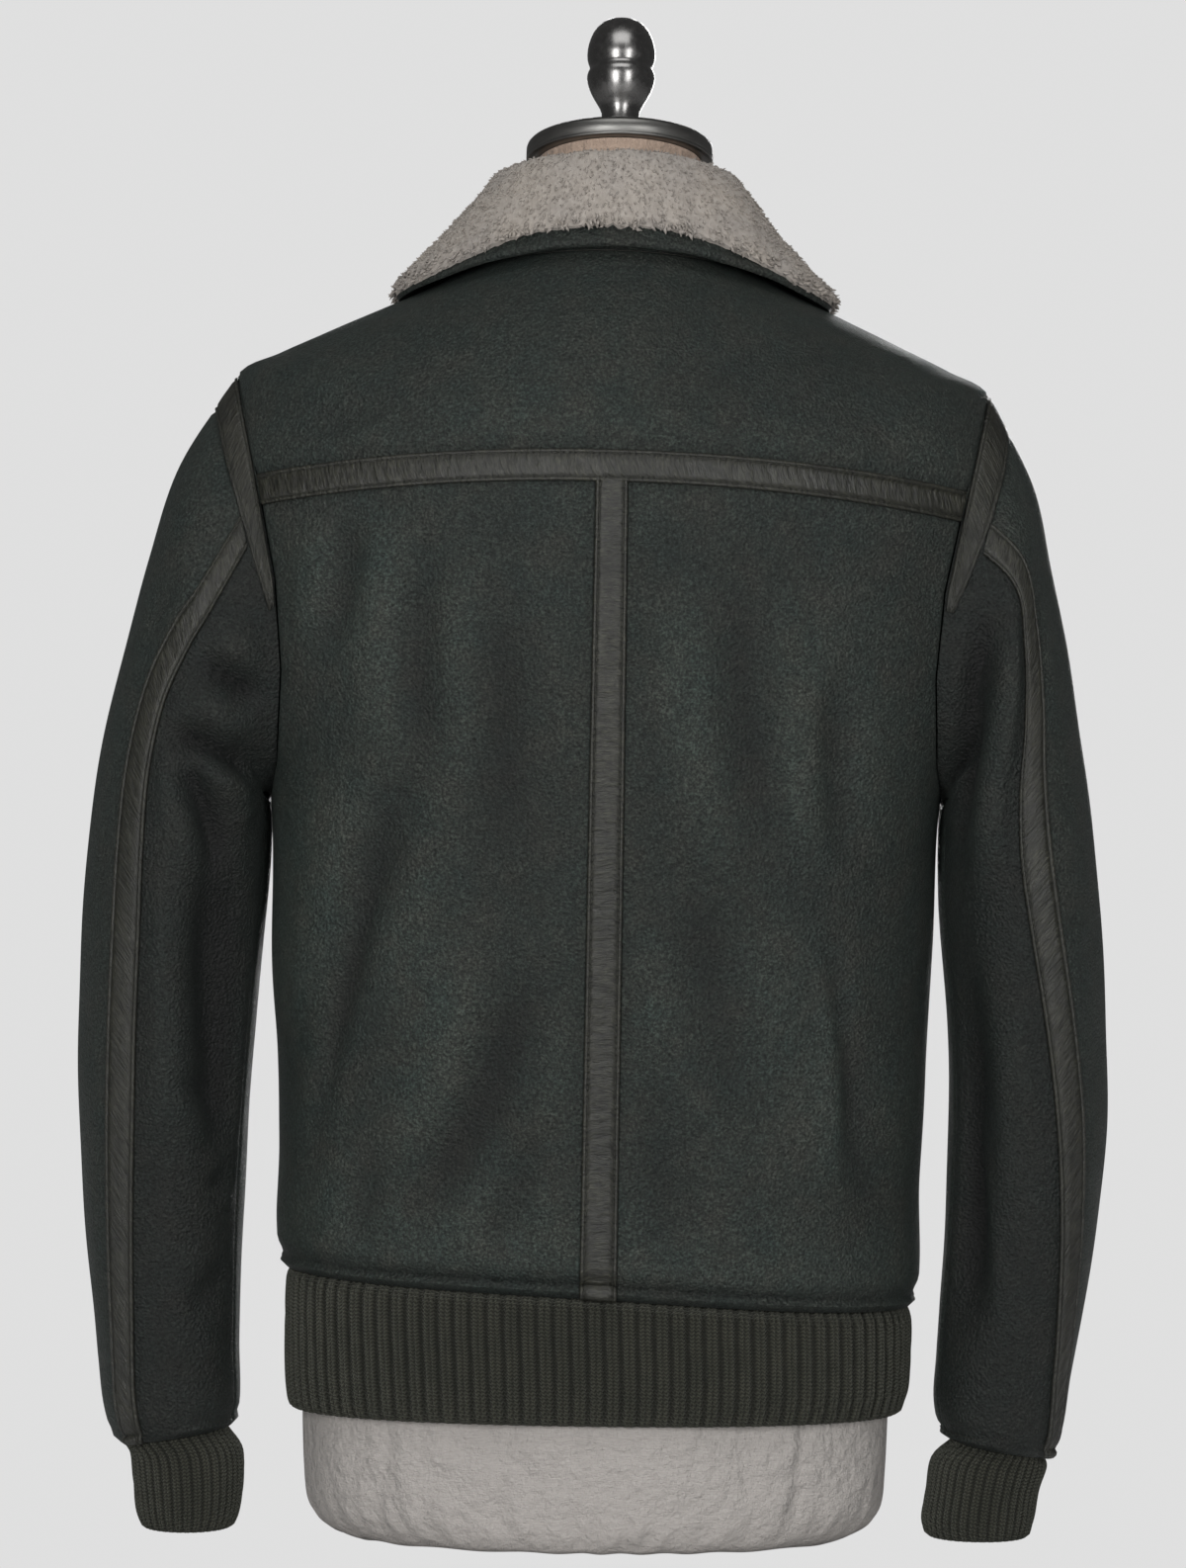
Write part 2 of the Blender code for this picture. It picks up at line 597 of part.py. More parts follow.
def build_sleeve(side, sign, sleeve):
    points, normals, pit = sleeve["points"], sleeve["normals"], sleeve["pit"]
    walls = normals.copy()
    for k, key in enumerate(sleeve["columns"]):
        if sleeve["seam"][key] is not None:
            walls[0, k] = sleeve["seam"][key]
    inner = points - walls * WALL
    count = points.shape[1]
    under = list(range(0, pit + 1))
    upper = list(range(pit, count)) + [0]
    for name, picked in (("under", under), ("upper", upper)):
        outside, inside = pulled(points[:, picked], inner[:, picked], ("first_col", "last_col"))
        shell(f"sleeve_{side}_{name}", outside, inside, "suede")
    # Over the back seam, from the armhole's strip to the sleeve's end.
    strip = [count - 1, 0, 1]
    body, ways = points[1:, strip].copy(), normals[1:, strip]
    body[0] += 1.2 * GAP * (body[1] - body[0]) / np.linalg.norm(body[1] - body[0], axis=-1,
                                                                 keepdims=True)
    laid_on(f"strip_sleeve_{side}", body, ways, "leather")
    # Round the armhole, over the shoulder and down both sides.
    keep = [k for k, (t, _) in enumerate(sleeve["columns"]) if t > 4.4]
    split = next(n for n in range(1, len(keep)) if keep[n] - keep[n - 1] > 1)
    order = keep[split:] + keep[:split]
    laid_on(f"strip_armhole_{side}", points[:2, order], walls[:2, order], "leather")
    return inner, walls


def build_cuff(side, sign, sleeve, inner, walls):
    """A knitted tube tucked into the sleeve's end."""
    count = sleeve["points"].shape[1]
    end, before = inner[-1], inner[-2]
    up = (before - end) / np.linalg.norm(before - end, axis=-1, keepdims=True)
    inward = -walls[-1] * GAP
    rows = [end + up * TUCK + inward * 1.3, end + inward * 1.3]
    turns = []
    ring = SLEEVE[side][-1]
    middle = np.array((sign * 0.5 * (ring[0] + ring[2]), ring[4]))
    half_w, half_d = 0.5 * (ring[0] - ring[2]), ring[5]
    for k in range(count):
        x, y, z = sleeve["points"][-1][k]
        turns.append(math.atan2(-(y - middle[1]) / half_d,
                                sign * (x - LEAN * z - middle[0]) / half_w))
    for row in CUFF[side]:
        rows.append([sleeve_ring_point(row, a, sign) for a in turns])
    rows = np.array(rows)
    normals = grid_normals(rows, closed=True) * sign
    shell(f"cuff_{side}", rows, rows - normals * RIB_WALL, "knit", closed=True)


# ---- strips over the body's seams -----------------------------------------
def build_body_strips(patches):
    right, right_n, rows = patches["back_right"]
    left, left_n, _ = patches["back_left"]
    last = rows.index(6.78)
    points = np.stack([left[:last + 1, -2], right[:last + 1, 0], right[:last + 1, 1]], axis=1)
    normals = np.stack([left_n[:last + 1, -2], right_n[:last + 1, 0], right_n[:last + 1, 1]],
                       axis=1)
    points[-1] -= np.array((0, 0, 1.2 * GAP))
    laid_on("strip_back", points, normals, "leather")

    # Three rows: one on the lower panels, the seam, and one on the yoke.
    yoke, yoke_n, _ = patches["yoke"]
    low = np.concatenate([left[last], right[last][1:]])
    low_n = np.concatenate([left_n[last], right_n[last][1:]])
    points = np.array([low, yoke[0], yoke[1]])
    for end, beside in ((0, 1), (-1, -2)):
        way = points[:, beside] - points[:, end]
        points[:, end] += STRIP_END * way / np.linalg.norm(way, axis=-1, keepdims=True)
    laid_on("strip_yoke", points, [low_n, yoke_n[0], yoke_n[1]], "leather")


# ---- knitted hem band -----------------------------------------------------
def round_columns(row):
    """The hem's angles from front edge to front edge, ending beside the zip."""
    right = back_columns(0) + front_columns(0)[1:-1] + [offset_angle(row, ZIP_HALF + GAP, True)]
    return [-u for u in right[:0:-1]] + right


def build_hem_rib():
    rows = []
    for t in (TUCK / 0.088, 0):
        line = []
        for u in round_columns(COAT[0]):
            n = coat_normal(u, t)
            line.append(coat_point(u, t) - n * (WALL + 1.3 * GAP))
        rows.append(line)
    for row in HEM_RIB:
        rows.append([ring_point(row, u) for u in round_columns(row)])
    rows = np.array(rows)
    normals = -grid_normals(rows)
    shell("hem_rib", rows, rows - normals * RIB_WALL, "knit")


# ---- collar ---------------------------------------------------------------
def build_collar():
    yoke = yoke_columns(NECK)
    front = front_columns(NECK)
    columns = [-u for u in front[:0:-1]] + yoke + front[1:]
    points = np.array([[ring_point(row, u) for u in columns] for row in COLLAR])
    ways = -grid_normals(points)
    # On the stand the pile faces the neck, over the fold it faces outwards.
    if np.dot(ways[5][len(columns) // 2], (0, -1, 0.3)) < 0:
        ways = -ways
    shell("collar_hide", points, points - ways * HIDE_WALL, "suede")
    depth = np.array([row[7] for row in COLLAR[:-1]])[:, None, None]
    near = points[:-1] + ways[:-1] * 1.5 * GAP
    far = points[:-1] + ways[:-1] * depth
    shell("collar_wool", far, near, "pile")


# ---- zip ------------------------------------------------------------------
def front_line():
    """The middle of the front from the band's edge to the neck, and its slope."""
    line = [ring_point(row, math.pi) for row in HEM_RIB[::-1]]
    line += [coat_point(math.pi, t) for t in SIDE_ROWS + FRONT_ARM_ROWS + SHOULDER_ROWS]
    line = np.array(line)
    along = np.gradient(line, axis=0)
    out = np.stack([np.zeros(len(line)), along[:, 2], -along[:, 1]], axis=1)
    return line, out / np.linalg.norm(out, axis=1, keepdims=True)


def build_zip():
    line, out = front_line()
    side = np.array((1.0, 0.0, 0.0))
    for name, sign in (("zip_tape_right", 1), ("zip_tape_left", -1)):
        near, far = 0.0024 + GAP, ZIP_HALF - GAP
        base = line - out * 0.0024
        grid = [base + side * sign * near, base + side * sign * far]
        back = [g - out * 0.0008 for g in grid]
        shell(name, np.array(grid), np.array(back), "tape")
    below = line[:, 2] < coat_point(math.pi, SLIDER_ROW)[2] - 0.004
    base, ways = line[below], out[below]
    grid = [base - side * 0.0024, base + side * 0.0024]
    shell("zip_chain", np.array([g - ways * 0.0014 for g in grid]),
          np.array([g - ways * 0.0036 for g in grid]), "steel")

    here = coat_point(math.pi, SLIDER_ROW)
    above = coat_point(math.pi, SLIDER_ROW + 0.1)
    up = (above - here) / np.linalg.norm(above - here)
    forward = np.cross(side, up)
    forward /= -np.linalg.norm(forward) if forward[1] < 0 else np.linalg.norm(forward)

    def place(x, y, z):
        """Slider's own axes: x across, y out of the coat, z up along it."""
        return here + side * x + forward * y + up * z

    width, length, thick = SLIDER
    low = -0.0020
    body = box("zip_slider", place, (-width / 2, low, -length / 2),
               (width / 2, low + thick, length / 2), "steel")
    pin_y, pin_z = low + thick + EYE_RADIUS + 0.0006, 0.0030
    cheeks = [box("cheek", place, (s * 0.0034 - 0.0006, low + thick - 0.0004, pin_z - 0.0018),
                  (s * 0.0034 + 0.0006, pin_y + 0.0014, pin_z + 0.0018), "steel")
              for s in (-1, 1)]
    pin = barrel("pin", place, PIN_RADIUS, -0.0036, 0.0036, pin_y, pin_z, 16)
    joined("zip_slider", [body, *cheeks, pin])
    build_pull(place, pin_y, pin_z)


def box(name, place, low, high, slot):
    points = [place(x, y, z) for z in (low[2], high[2]) for y in (low[1], high[1])
              for x in (low[0], high[0])]
    faces = [(0, 1, 3, 2), (4, 6, 7, 5), (0, 4, 5, 1), (2, 3, 7, 6), (0, 2, 6, 4), (1, 5, 7, 3)]
    return add_mesh(name, points, faces, slot)


def barrel(name, place, radius, x0, x1, y, z, sides):
    points = [place(x, y + radius * math.sin(2 * math.pi * k / sides),
                    z + radius * math.cos(2 * math.pi * k / sides))
              for x in (x0, x1) for k in range(sides)]
    faces = [tuple(range(sides)), tuple(range(2 * sides - 1, sides - 1, -1))]
    for k in range(sides):
        n = (k + 1) % sides
        faces.append((k, n, sides + n, sides + k))
    return add_mesh(name, points, faces, "steel")


def build_pull(place, pin_y, pin_z):
    """A flat tab with an eye that turns on the slider's pin."""
    width, length, thick = PULL
    sides = 24
    half = thick / 2
    gap_angle = math.asin(half / EYE_RADIUS)
    outline = []
    for k in range(sides + 1):
        a = -math.pi / 2 + gap_angle + (2 * math.pi - 2 * gap_angle) * k / sides
        outline.append((EYE_RADIUS * math.cos(a), EYE_RADIUS * math.sin(a)))
    outline += [(-half, -length), (half, -length)]
    dip = math.radians(PULL_REST)
    outline = [(y * math.cos(dip) + z * math.sin(dip), z * math.cos(dip) - y * math.sin(dip))
               for y, z in outline]
    hole = [(EYE_HOLE * math.cos(2 * math.pi * k / sides), EYE_HOLE * math.sin(2 * math.pi * k / sides))
            for k in range(sides)]
    x0, x1 = -width / 2, width / 2
    body = prism(outline, x0, x1, place, pin_y, pin_z, "zip_pull")
    drill = prism(hole, x0 - 0.001, x1 + 0.001, place, pin_y, pin_z, "drill")
    cut = body.modifiers.new("eye", "BOOLEAN")
    cut.operation = "DIFFERENCE"
    cut.solver = "EXACT"
    cut.object = drill
    bpy.context.view_layer.update()
    done = bpy.data.meshes.new_from_object(
        body.evaluated_get(bpy.context.evaluated_depsgraph_get()))
    body.modifiers.remove(cut)
    body.data = done
    bpy.data.objects.remove(drill)


def prism(outline, x0, x1, place, y, z, name):
    count = len(outline)
    points = [place(x, y + py, z + pz) for x in (x0, x1) for py, pz in outline]
    faces = [tuple(range(count)), tuple(range(2 * count - 1, count - 1, -1))]
    faces += [(k, (k + 1) % count, count + (k + 1) % count, count + k) for k in range(count)]
    return add_mesh(name, points, faces, "steel")


# ---- dress form -----------------------------------------------------------
def build_form():
    def columns(t):
        right = back_columns(t) + front_columns(t)[1:]
        return [-u for u in right[:0:-1]] + right + [math.pi]

    plain = columns(TIP)
    rows = [[ring_point(row, u) for u in plain] for row in FORM_BODY]
    for t in FORM_SHOULDER_ROWS:
        rows.append([coat_point(u, t) - coat_normal(u, t) * (WALL + SEAT) for u in columns(t)])
    rows += [[ring_point(row, u) for u in columns(NECK)] for row in FORM_NECK]
    slope = math.tan(math.radians(CAP_TILT))
    top = []
    for u in columns(NECK):
        y = -NECK_RADIUS * math.cos(u) * math.cos(math.radians(CAP_TILT))
        top.append(lean(NECK_RADIUS * math.sin(u) + NECK_SIDE, y, NECK_TOP - slope * y))
    rows.append(top)
    rows = np.array(rows)
    count, height = rows.shape[1], rows.shape[0]
    points = list(rows.reshape(-1, 3))
    faces = []
    for i in range(height - 1):
        for j in range(count):
            k = (j + 1) % count
            a, b = i * count + j, i * count + k
            faces += halves(points, a, b, b + count, a + count)
    faces.append(tuple(range(count))[::-1])
    points.append(lean(NECK_SIDE, 0, NECK_TOP))
    hub = len(points) - 1
    start = (height - 1) * count
    faces += [(start + j, start + (j + 1) % count, hub) for j in range(count)]
    add_mesh("form_body", points, faces, "linen")


def build_cap():
    tilt = math.radians(CAP_TILT)

    def place(x, y, z):
        """The cap's own axes, tipped forwards with the neck."""
        return lean(x + NECK_SIDE, y * math.cos(tilt) + z * math.sin(tilt),
                    NECK_TOP + z * math.cos(tilt) - y * math.sin(tilt))

    r, h = CAP_RADIUS, CAP_THICK
    profile = [(r - 0.0010, GAP), (r, GAP + 0.0010), (r, h - 0.0045), (r - 0.0009, h - 0.0025),
               (r - 0.0030, h - 0.0008), (r - 0.0065, h)]
    turned("form_cap", profile, 48, place, "steel")
    lifted = [(radius, height + CAP_THICK + GAP) for radius, height in FINIAL]
    turned("form_finial", lifted, FINIAL_SIDES, place, "chrome")


def centre_on_origin():
    """Move everything so that the box round it stands on the origin."""
    low, high = np.full(3, 9.0), np.full(3, -9.0)
    bodies = [o for o in bpy.data.objects if o.type == "MESH"]
    for body in bodies:
        spots = np.array([v.co for v in body.data.vertices])
        low, high = np.minimum(low, spots.min(axis=0)), np.maximum(high, spots.max(axis=0))
    shift = np.array((-(low[0] + high[0]) / 2, -(low[1] + high[1]) / 2, -low[2]))
    for body in bodies:
        for v in body.data.vertices:
            v.co = v.co[0] + shift[0], v.co[1] + shift[1], v.co[2] + shift[2]
    print("moved by", shift.round(5), "size", (high - low).round(4))


def main():
    for old in list(bpy.data.objects):
        bpy.data.objects.remove(old)
    signs = {"right": 1, "left": -1}
    sleeves = {side: sleeve_grid(side, sign) for side, sign in signs.items()}
    patches = build_body(sleeves)
    build_body_strips(patches)
    for side, sign in signs.items():
        inner, walls = build_sleeve(side, sign, sleeves[side])
        build_cuff(side, sign, sleeves[side], inner, walls)
    build_hem_rib()
    build_collar()
    build_zip()
    build_form()
    build_cap()
    centre_on_origin()


main()
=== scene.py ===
# %% [markdown]
# # A sheepskin coat on a limbless dress form
# The coat hangs closed on the form and is seen from behind. It is cut from dark
# green sheepskin with the wool inside, its seams are covered with strips of
# smooth leather, the hem and cuffs are rib knit, and the collar is folded down
# so that its wool shows. The imported model gives every piece its place. This
# lesson gives each piece its looks: fine grids on the same surfaces, with listed
# folds, and materials made of nodes.

import math

import bmesh
import bpy
import numpy as np
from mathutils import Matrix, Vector


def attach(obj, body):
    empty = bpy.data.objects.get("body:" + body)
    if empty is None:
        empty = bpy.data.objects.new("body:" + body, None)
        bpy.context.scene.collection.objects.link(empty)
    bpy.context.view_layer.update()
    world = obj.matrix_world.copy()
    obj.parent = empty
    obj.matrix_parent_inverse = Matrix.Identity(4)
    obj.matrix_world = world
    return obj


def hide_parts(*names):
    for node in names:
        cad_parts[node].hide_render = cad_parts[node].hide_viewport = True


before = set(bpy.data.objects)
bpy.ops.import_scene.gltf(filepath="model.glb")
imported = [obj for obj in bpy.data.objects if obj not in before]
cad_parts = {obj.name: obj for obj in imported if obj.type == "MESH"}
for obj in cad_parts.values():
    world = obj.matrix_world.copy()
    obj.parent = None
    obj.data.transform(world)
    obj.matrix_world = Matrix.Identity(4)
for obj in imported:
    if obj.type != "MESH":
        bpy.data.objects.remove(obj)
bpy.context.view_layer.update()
COAT_BODY = "coat_on_form"

# %% [markdown]
# ## Sizes
# All lengths are metres. These are the walls and widths that a maker would
# measure on the real coat, and they match the solids that carry the pieces.

# %% Sizes
HIDE = 0.0040            # sheepskin: hide and clipped wool
KNIT = 0.0030            # rib knit
STRIP = 0.0014           # leather laid over the seams
COLLAR_HIDE = 0.0016
GAP = 0.0003             # clear space between neighbours
SEAT = 0.0005            # between the form and the coat on its shoulders
LEAN = 0.0066            # the form leans to +X, metres per metre of height
TILT = 0.0160            # the shoulders drop towards +X, metres per metre across
TILT_HEIGHTS = (0.45, 0.62, 0.745, 0.80)
HEM_HALF = 0.184         # half the width at the hem seam
STAND = (0.00345, 0.00213)               # from the coat's middle line to the frame's origin
BACK_STRIP_HALF = 0.0100
YOKE_STRIP_HALF = 0.0092
ZIP_HALF = 0.0090
TUCK = 0.0080            # how far the knitted bands reach inside the panels
KNIT_BEHIND = HIDE + 1.3 * GAP + 0.0016  # from a panel's face to the knit tucked inside it

# The coat's outer face, ring by ring from the hem seam up to the neck seam.
COAT = np.array((
    # z_back z_side z_front half_w  back   front  power
    (0.1470, 0.1610, 0.1500, 0.1840, 0.1240, 0.1200, 2.40),
    (0.2350, 0.2400, 0.2350, 0.1865, 0.1300, 0.1250, 2.35),
    (0.3450, 0.3450, 0.3400, 0.1915, 0.1360, 0.1310, 2.30),
    (0.4320, 0.4300, 0.4250, 0.1945, 0.1400, 0.1370, 2.25),
    (0.4850, 0.4750, 0.4650, 0.2100, 0.1415, 0.1390, 2.20),
    (0.5350, 0.5220, 0.5050, 0.2220, 0.1415, 0.1390, 2.15),
    (0.5800, 0.5650, 0.5400, 0.2290, 0.1405, 0.1380, 2.10),
    (0.6177, 0.5970, 0.5660, 0.2320, 0.1380, 0.1370, 2.10),
    (0.6400, 0.6370, 0.5850, 0.2285, 0.1340, 0.1350, 2.05),
    (0.6570, 0.6710, 0.6020, 0.2195, 0.1290, 0.1320, 2.00),
    (0.6770, 0.6840, 0.6170, 0.1960, 0.1210, 0.1280, 2.00),
    (0.6970, 0.6970, 0.6310, 0.1680, 0.1110, 0.1220, 2.00),
    (0.7150, 0.7110, 0.6450, 0.1380, 0.0990, 0.1140, 2.00),
    (0.7310, 0.7245, 0.6570, 0.1090, 0.0860, 0.1030, 2.00),
    (0.7440, 0.7370, 0.6680, 0.0830, 0.0730, 0.0880, 2.00),
))
PIT, TIP, NECK = 3, 9, 14                # ring numbers of the seams

# The armhole seam's distance from the middle at each height.
ARMHOLE = np.array((
    # height  distance
    (0.4300, 0.1945),
    (0.4500, 0.1905),
    (0.5000, 0.1880),
    (0.5500, 0.1920),
    (0.6070, 0.2040),
    (0.6360, 0.2110),
    (0.6710, 0.2195),
))

# %% [markdown]
# ## Surfaces
# A ring is a superellipse: a power of 2 gives an ellipse and a higher one a
# squarer ring, which is how a torso's cross-section looks. A smooth curve
# through the table's rows (Catmull-Rom) gives the rings in between, so a few
# measured sections are enough for the whole body.

# %% Ring surfaces
def table_rows(table, t):
    """A table's rows at ring numbers that need not be whole."""
    last = len(table) - 1
    t = np.asarray(t, float)
    i = np.clip(t.astype(int), 0, last - 1)
    f = (t - i)[..., None]
    p0, p1, p2, p3 = (table[np.clip(i + k, 0, last)] for k in (-1, 0, 1, 2))
    return p1 + 0.5 * f * (p2 - p0 + f * (2 * p0 - 5 * p1 + 4 * p2 - p3
                                          + f * (3 * (p1 - p2) + p3 - p0)))


def power(value, n):
    return np.sign(value) * np.abs(value) ** (2.0 / n)


def smooth(x, low, high):
    f = np.clip((x - low) / (high - low), 0.0, 1.0)
    return f * f * (3.0 - 2.0 * f)


def lean(x, y, z):
    """Stand a point of the upright coat where the worn one has it."""
    x, y, z = np.broadcast_arrays(x, y, z)
    tilt = TILT * np.interp(z, TILT_HEIGHTS, (0.0, 1.0, 1.0, 0.0))
    return np.stack([x + LEAN * z + STAND[0], y + STAND[1], z - tilt * x], axis=-1)


def hem_drop(across, z):
    """The hem seam hangs lower at the sides than its rings, most at +X."""
    near = smooth(z, 0.078, 0.130) * (1.0 - smooth(z, 0.160, 0.340))
    return near * (0.0142 * across ** 2 + 0.0098 * across)


def ring_points(rows, angle):
    """Points of rings: 0 at the middle of the back, 90 degrees at the +X side."""
    z_back, z_side, z_front, half_w, back, front, n = np.moveaxis(rows[..., :7], -1, 0)
    s, c = np.sin(angle), np.cos(angle)
    depth = np.where(c > 0, back, front)
    z_end = np.where(c > 0, z_back, z_front)
    x, z = half_w * power(s, n), z_side + (z_end - z_side) * c * c
    return lean(x, -depth * power(c, n), z - hem_drop(x / HEM_HALF, z))


def coat_points(angle, t):
    return ring_points(table_rows(COAT, t), angle)


def edge_angles(t, front):
    """Angle of the +X side seam, armhole or shoulder seam on each ring."""
    t = np.asarray(t, float)
    inner = np.full(t.shape, math.pi if front else 0.0)
    outer = np.full(t.shape, math.pi / 2)
    rows = table_rows(COAT, t)
    for _ in range(40):
        middle = 0.5 * (inner + outer)
        points = ring_points(rows, middle)
        height = points[..., 2]
        reach = points[..., 0] - STAND[0] - LEAN * height
        short = reach < np.interp(height, ARMHOLE[:, 0], ARMHOLE[:, 1])
        inner, outer = np.where(short, middle, inner), np.where(short, outer, middle)
    return np.where((t <= PIT) | (t >= TIP), math.pi / 2, 0.5 * (inner + outer))


def offset_angles(t, distance, front=False):
    """Angle at a set distance from the middle of the back or front."""
    rows = table_rows(COAT, t)
    inside = np.minimum(0.9, np.abs(distance) / rows[..., 3]) ** (rows[..., 6] / 2.0)
    angle = np.arcsin(inside)
    return math.pi - angle if front else np.sign(distance) * angle


print("centre back length, hem seam to neck seam:",
      round(float(coat_points(0.0, 14)[2] - coat_points(0.0, 0)[2]), 3))

# %% [markdown]
# ## Grids and shells
# Every cloth piece is made the same way: a grid of points on its outer face,
# the same grid one wall's thickness further in, and a rim of faces round the
# edge. That makes one closed skin with a real thickness. The UV map holds real
# distances in metres, so that a knit or a grain has its true size anywhere.

# %% Grid helpers
def grid_normals(grid, closed=False):
    if closed:
        across = np.roll(grid, -1, axis=1) - np.roll(grid, 1, axis=1)
    else:
        across = np.gradient(grid, axis=1)
    n = np.cross(across, np.gradient(grid, axis=0))
    return n / np.maximum(np.linalg.norm(n, axis=-1, keepdims=True), 1e-12)


def lengths(line):
    """Distance travelled along each row of points, from its first point."""
    steps = np.linalg.norm(np.diff(line, axis=-2), axis=-1)
    return np.concatenate([np.zeros(steps.shape[:-1] + (1,)), np.cumsum(steps, axis=-1)], axis=-1)


def evenly(values, line, count):
    """Those values at evenly spaced places along the line of points."""
    run = lengths(line)
    return np.interp(np.linspace(0.0, run[-1], count), run, values)


def hump(x, middle, width):
    return np.exp(-((x - middle) / width) ** 2)


def finish_mesh(name, points, faces, corner_uv=None, sharp=50.0):
    """A smooth-shaded object from points and faces, turned to face outwards."""
    points = np.asarray(points, float)
    first = points[[f[0] for f in faces]]
    second = points[[f[1] for f in faces]]
    third = points[[f[2] for f in faces]]
    volume = np.einsum("ij,ij->", first, np.cross(second, third))
    if volume < 0:
        faces = [f[::-1] for f in faces]
        corner_uv = None if corner_uv is None else [uv[::-1] for uv in corner_uv]
    mesh = bpy.data.meshes.new(name + "_fine")
    mesh.from_pydata(points.tolist(), [], faces)
    if corner_uv is not None:
        layer = mesh.uv_layers.new(name="cut")
        layer.data.foreach_set("uv", np.concatenate([np.ravel(uv) for uv in corner_uv]))
    mesh.polygons.foreach_set("use_smooth", [True] * len(mesh.polygons))
    mesh.set_sharp_from_angle(angle=math.radians(sharp))
    piece = bpy.data.objects.new(mesh.name, mesh)
    bpy.context.scene.collection.objects.link(piece)
    return piece


def shell(name, outer, inner, closed=False, uv=None):
    """One closed skin from the grids of a sheet's outer and inner faces."""
    rows, cols = outer.shape[:2]
    size = rows * cols
    if uv is None:
        ring = np.concatenate([outer, outer[:, :1]], axis=1) if closed else outer
        across = lengths(ring)
        along = lengths(np.swapaxes(outer, 0, 1)).T
        along = np.concatenate([along, along[:, :1]], axis=1) if closed else along
        uv = np.stack([across, along], axis=-1)
    faces, corners = [], []

    def add(face, spots):
        faces.append(face)
        corners.append([uv[i, j] for i, j in spots])

    for i in range(rows - 1):
        for j in range(cols if closed else cols - 1):
            k = (j + 1) % cols
            a, b, c, d = i * cols + j, i * cols + k, (i + 1) * cols + k, (i + 1) * cols + j
            spots = ((i, j), (i, j + 1), (i + 1, j + 1), (i + 1, j))
            add((a, b, c, d), spots)
            add((size + d, size + c, size + b, size + a), spots[::-1])
    last = cols if closed else cols - 1
    for j in range(last):
        k = (j + 1) % cols
        add((j, size + j, size + k, k), ((0, j), (0, j), (0, j + 1), (0, j + 1)))
        top = size - cols
        add((top + k, top + size + k, top + size + j, top + j),
            ((rows - 1, j + 1), (rows - 1, j + 1), (rows - 1, j), (rows - 1, j)))
    for i in range(0 if closed else rows - 1):
        a, d = i * cols, (i + 1) * cols
        add((d, size + d, size + a, a), ((i + 1, 0), (i + 1, 0), (i, 0), (i, 0)))
        b, c = a + cols - 1, d + cols - 1
        add((b, size + b, size + c, c),
            ((i, cols - 1), (i, cols - 1), (i + 1, cols - 1), (i + 1, cols - 1)))
    points = np.concatenate([outer.reshape(-1, 3), inner.reshape(-1, 3)])
    return finish_mesh(name, points, faces, corners)


def give(mesh, name, kind, values):
    """Store one value or one direction for every point of a mesh."""
    layer = mesh.attributes.new(name, kind, "POINT")
    layer.data.foreach_set("vector" if kind == "FLOAT_VECTOR" else "value",
                           np.ravel(np.asarray(values, float)))


def report(piece):
    mesh = piece.data
    mesh.calc_loop_triangles()
    area = sum(p.area for p in mesh.polygons)
    count = len(mesh.loop_triangles)
    print(f"{piece.name}: {count} triangles, one face {area / 2:.4f} m2")


# %% [markdown]
# ## Materials
# Nothing here is one flat colour. Hide is mottled where the tannery's dye took
# unevenly, and pebbled at about a millimetre. The leather strips are glossier
# and wrinkle across. Knit, linen and wool have their own threads. A small
# helper keeps the node trees short: it makes a node, sets its inputs, and
# links whatever is another node's output.

# %% Node helper
def new_material(name, **shader):
    made = bpy.data.materials.new(name)
    made.use_nodes = True
    tree = made.node_tree
    principled = tree.nodes["Principled BSDF"]
    for key, value in shader.items():
        principled.inputs[key.replace("_", " ")].default_value = value

    def node(kind, settings=None, **inputs):
        n = tree.nodes.new(kind)
        for key, value in (settings or {}).items():
            setattr(n, key, value)
        for key, value in inputs.items():
            socket = n.inputs[int(key[1:]) if key[0] == "i" and key[1:].isdigit()
                              else key.replace("_", " ")]
            if isinstance(value, bpy.types.NodeSocket):
                tree.links.new(value, socket)
            else:
                socket.default_value = value
        return n

    def to_shader(socket_name, output):
        tree.links.new(output, principled.inputs[socket_name])

    return made, node, to_shader


def ramp(node, fac, *stops):
    """Colours along a 0 to 1 value: each stop is (place, grey or colour)."""
    n = node("ShaderNodeValToRGB", Fac=fac)
    elements = n.color_ramp.elements
    while len(elements) < len(stops):
        elements.new(0.5)
    for element, (place, colour) in zip(elements, stops):
        element.position = place
        element.color = (*colour, 1.0) if isinstance(colour, tuple) else (colour,) * 3 + (1.0,)
    return n.outputs["Color"]


def maths(node, operation, a, b=0.0):
    return node("ShaderNodeMath", {"operation": operation}, i0=a, i1=b).outputs[0]


def noise(node, place, scale, detail=2.0, roughness=0.5):
    return node("ShaderNodeTexNoise", Vector=place, Scale=scale, Detail=detail,
                Roughness=roughness).outputs["Fac"]


def cells(node, place, scale, feature="F1"):
    return node("ShaderNodeTexVoronoi", {"feature": feature}, Vector=place,
                Scale=scale).outputs["Distance"]


def blended(node, fac, a, b, kind="MIX"):
    n = node("ShaderNodeMix", {"data_type": "RGBA", "blend_type": kind, "clamp_factor": True})
    tree = n.id_data
    for index, value in ((0, fac), (6, a), (7, b)):
        if isinstance(value, bpy.types.NodeSocket):
            tree.links.new(value, n.inputs[index])
        else:
            n.inputs[index].default_value = (*value, 1.0) if index else value
    return n.outputs[2]


def bump(node, height, strength, distance, under=None):
    n = node("ShaderNodeBump", Height=height, Strength=strength, Distance=distance)
    if under is not None:
        n.id_data.links.new(under, n.inputs["Normal"])
    return n.outputs["Normal"]


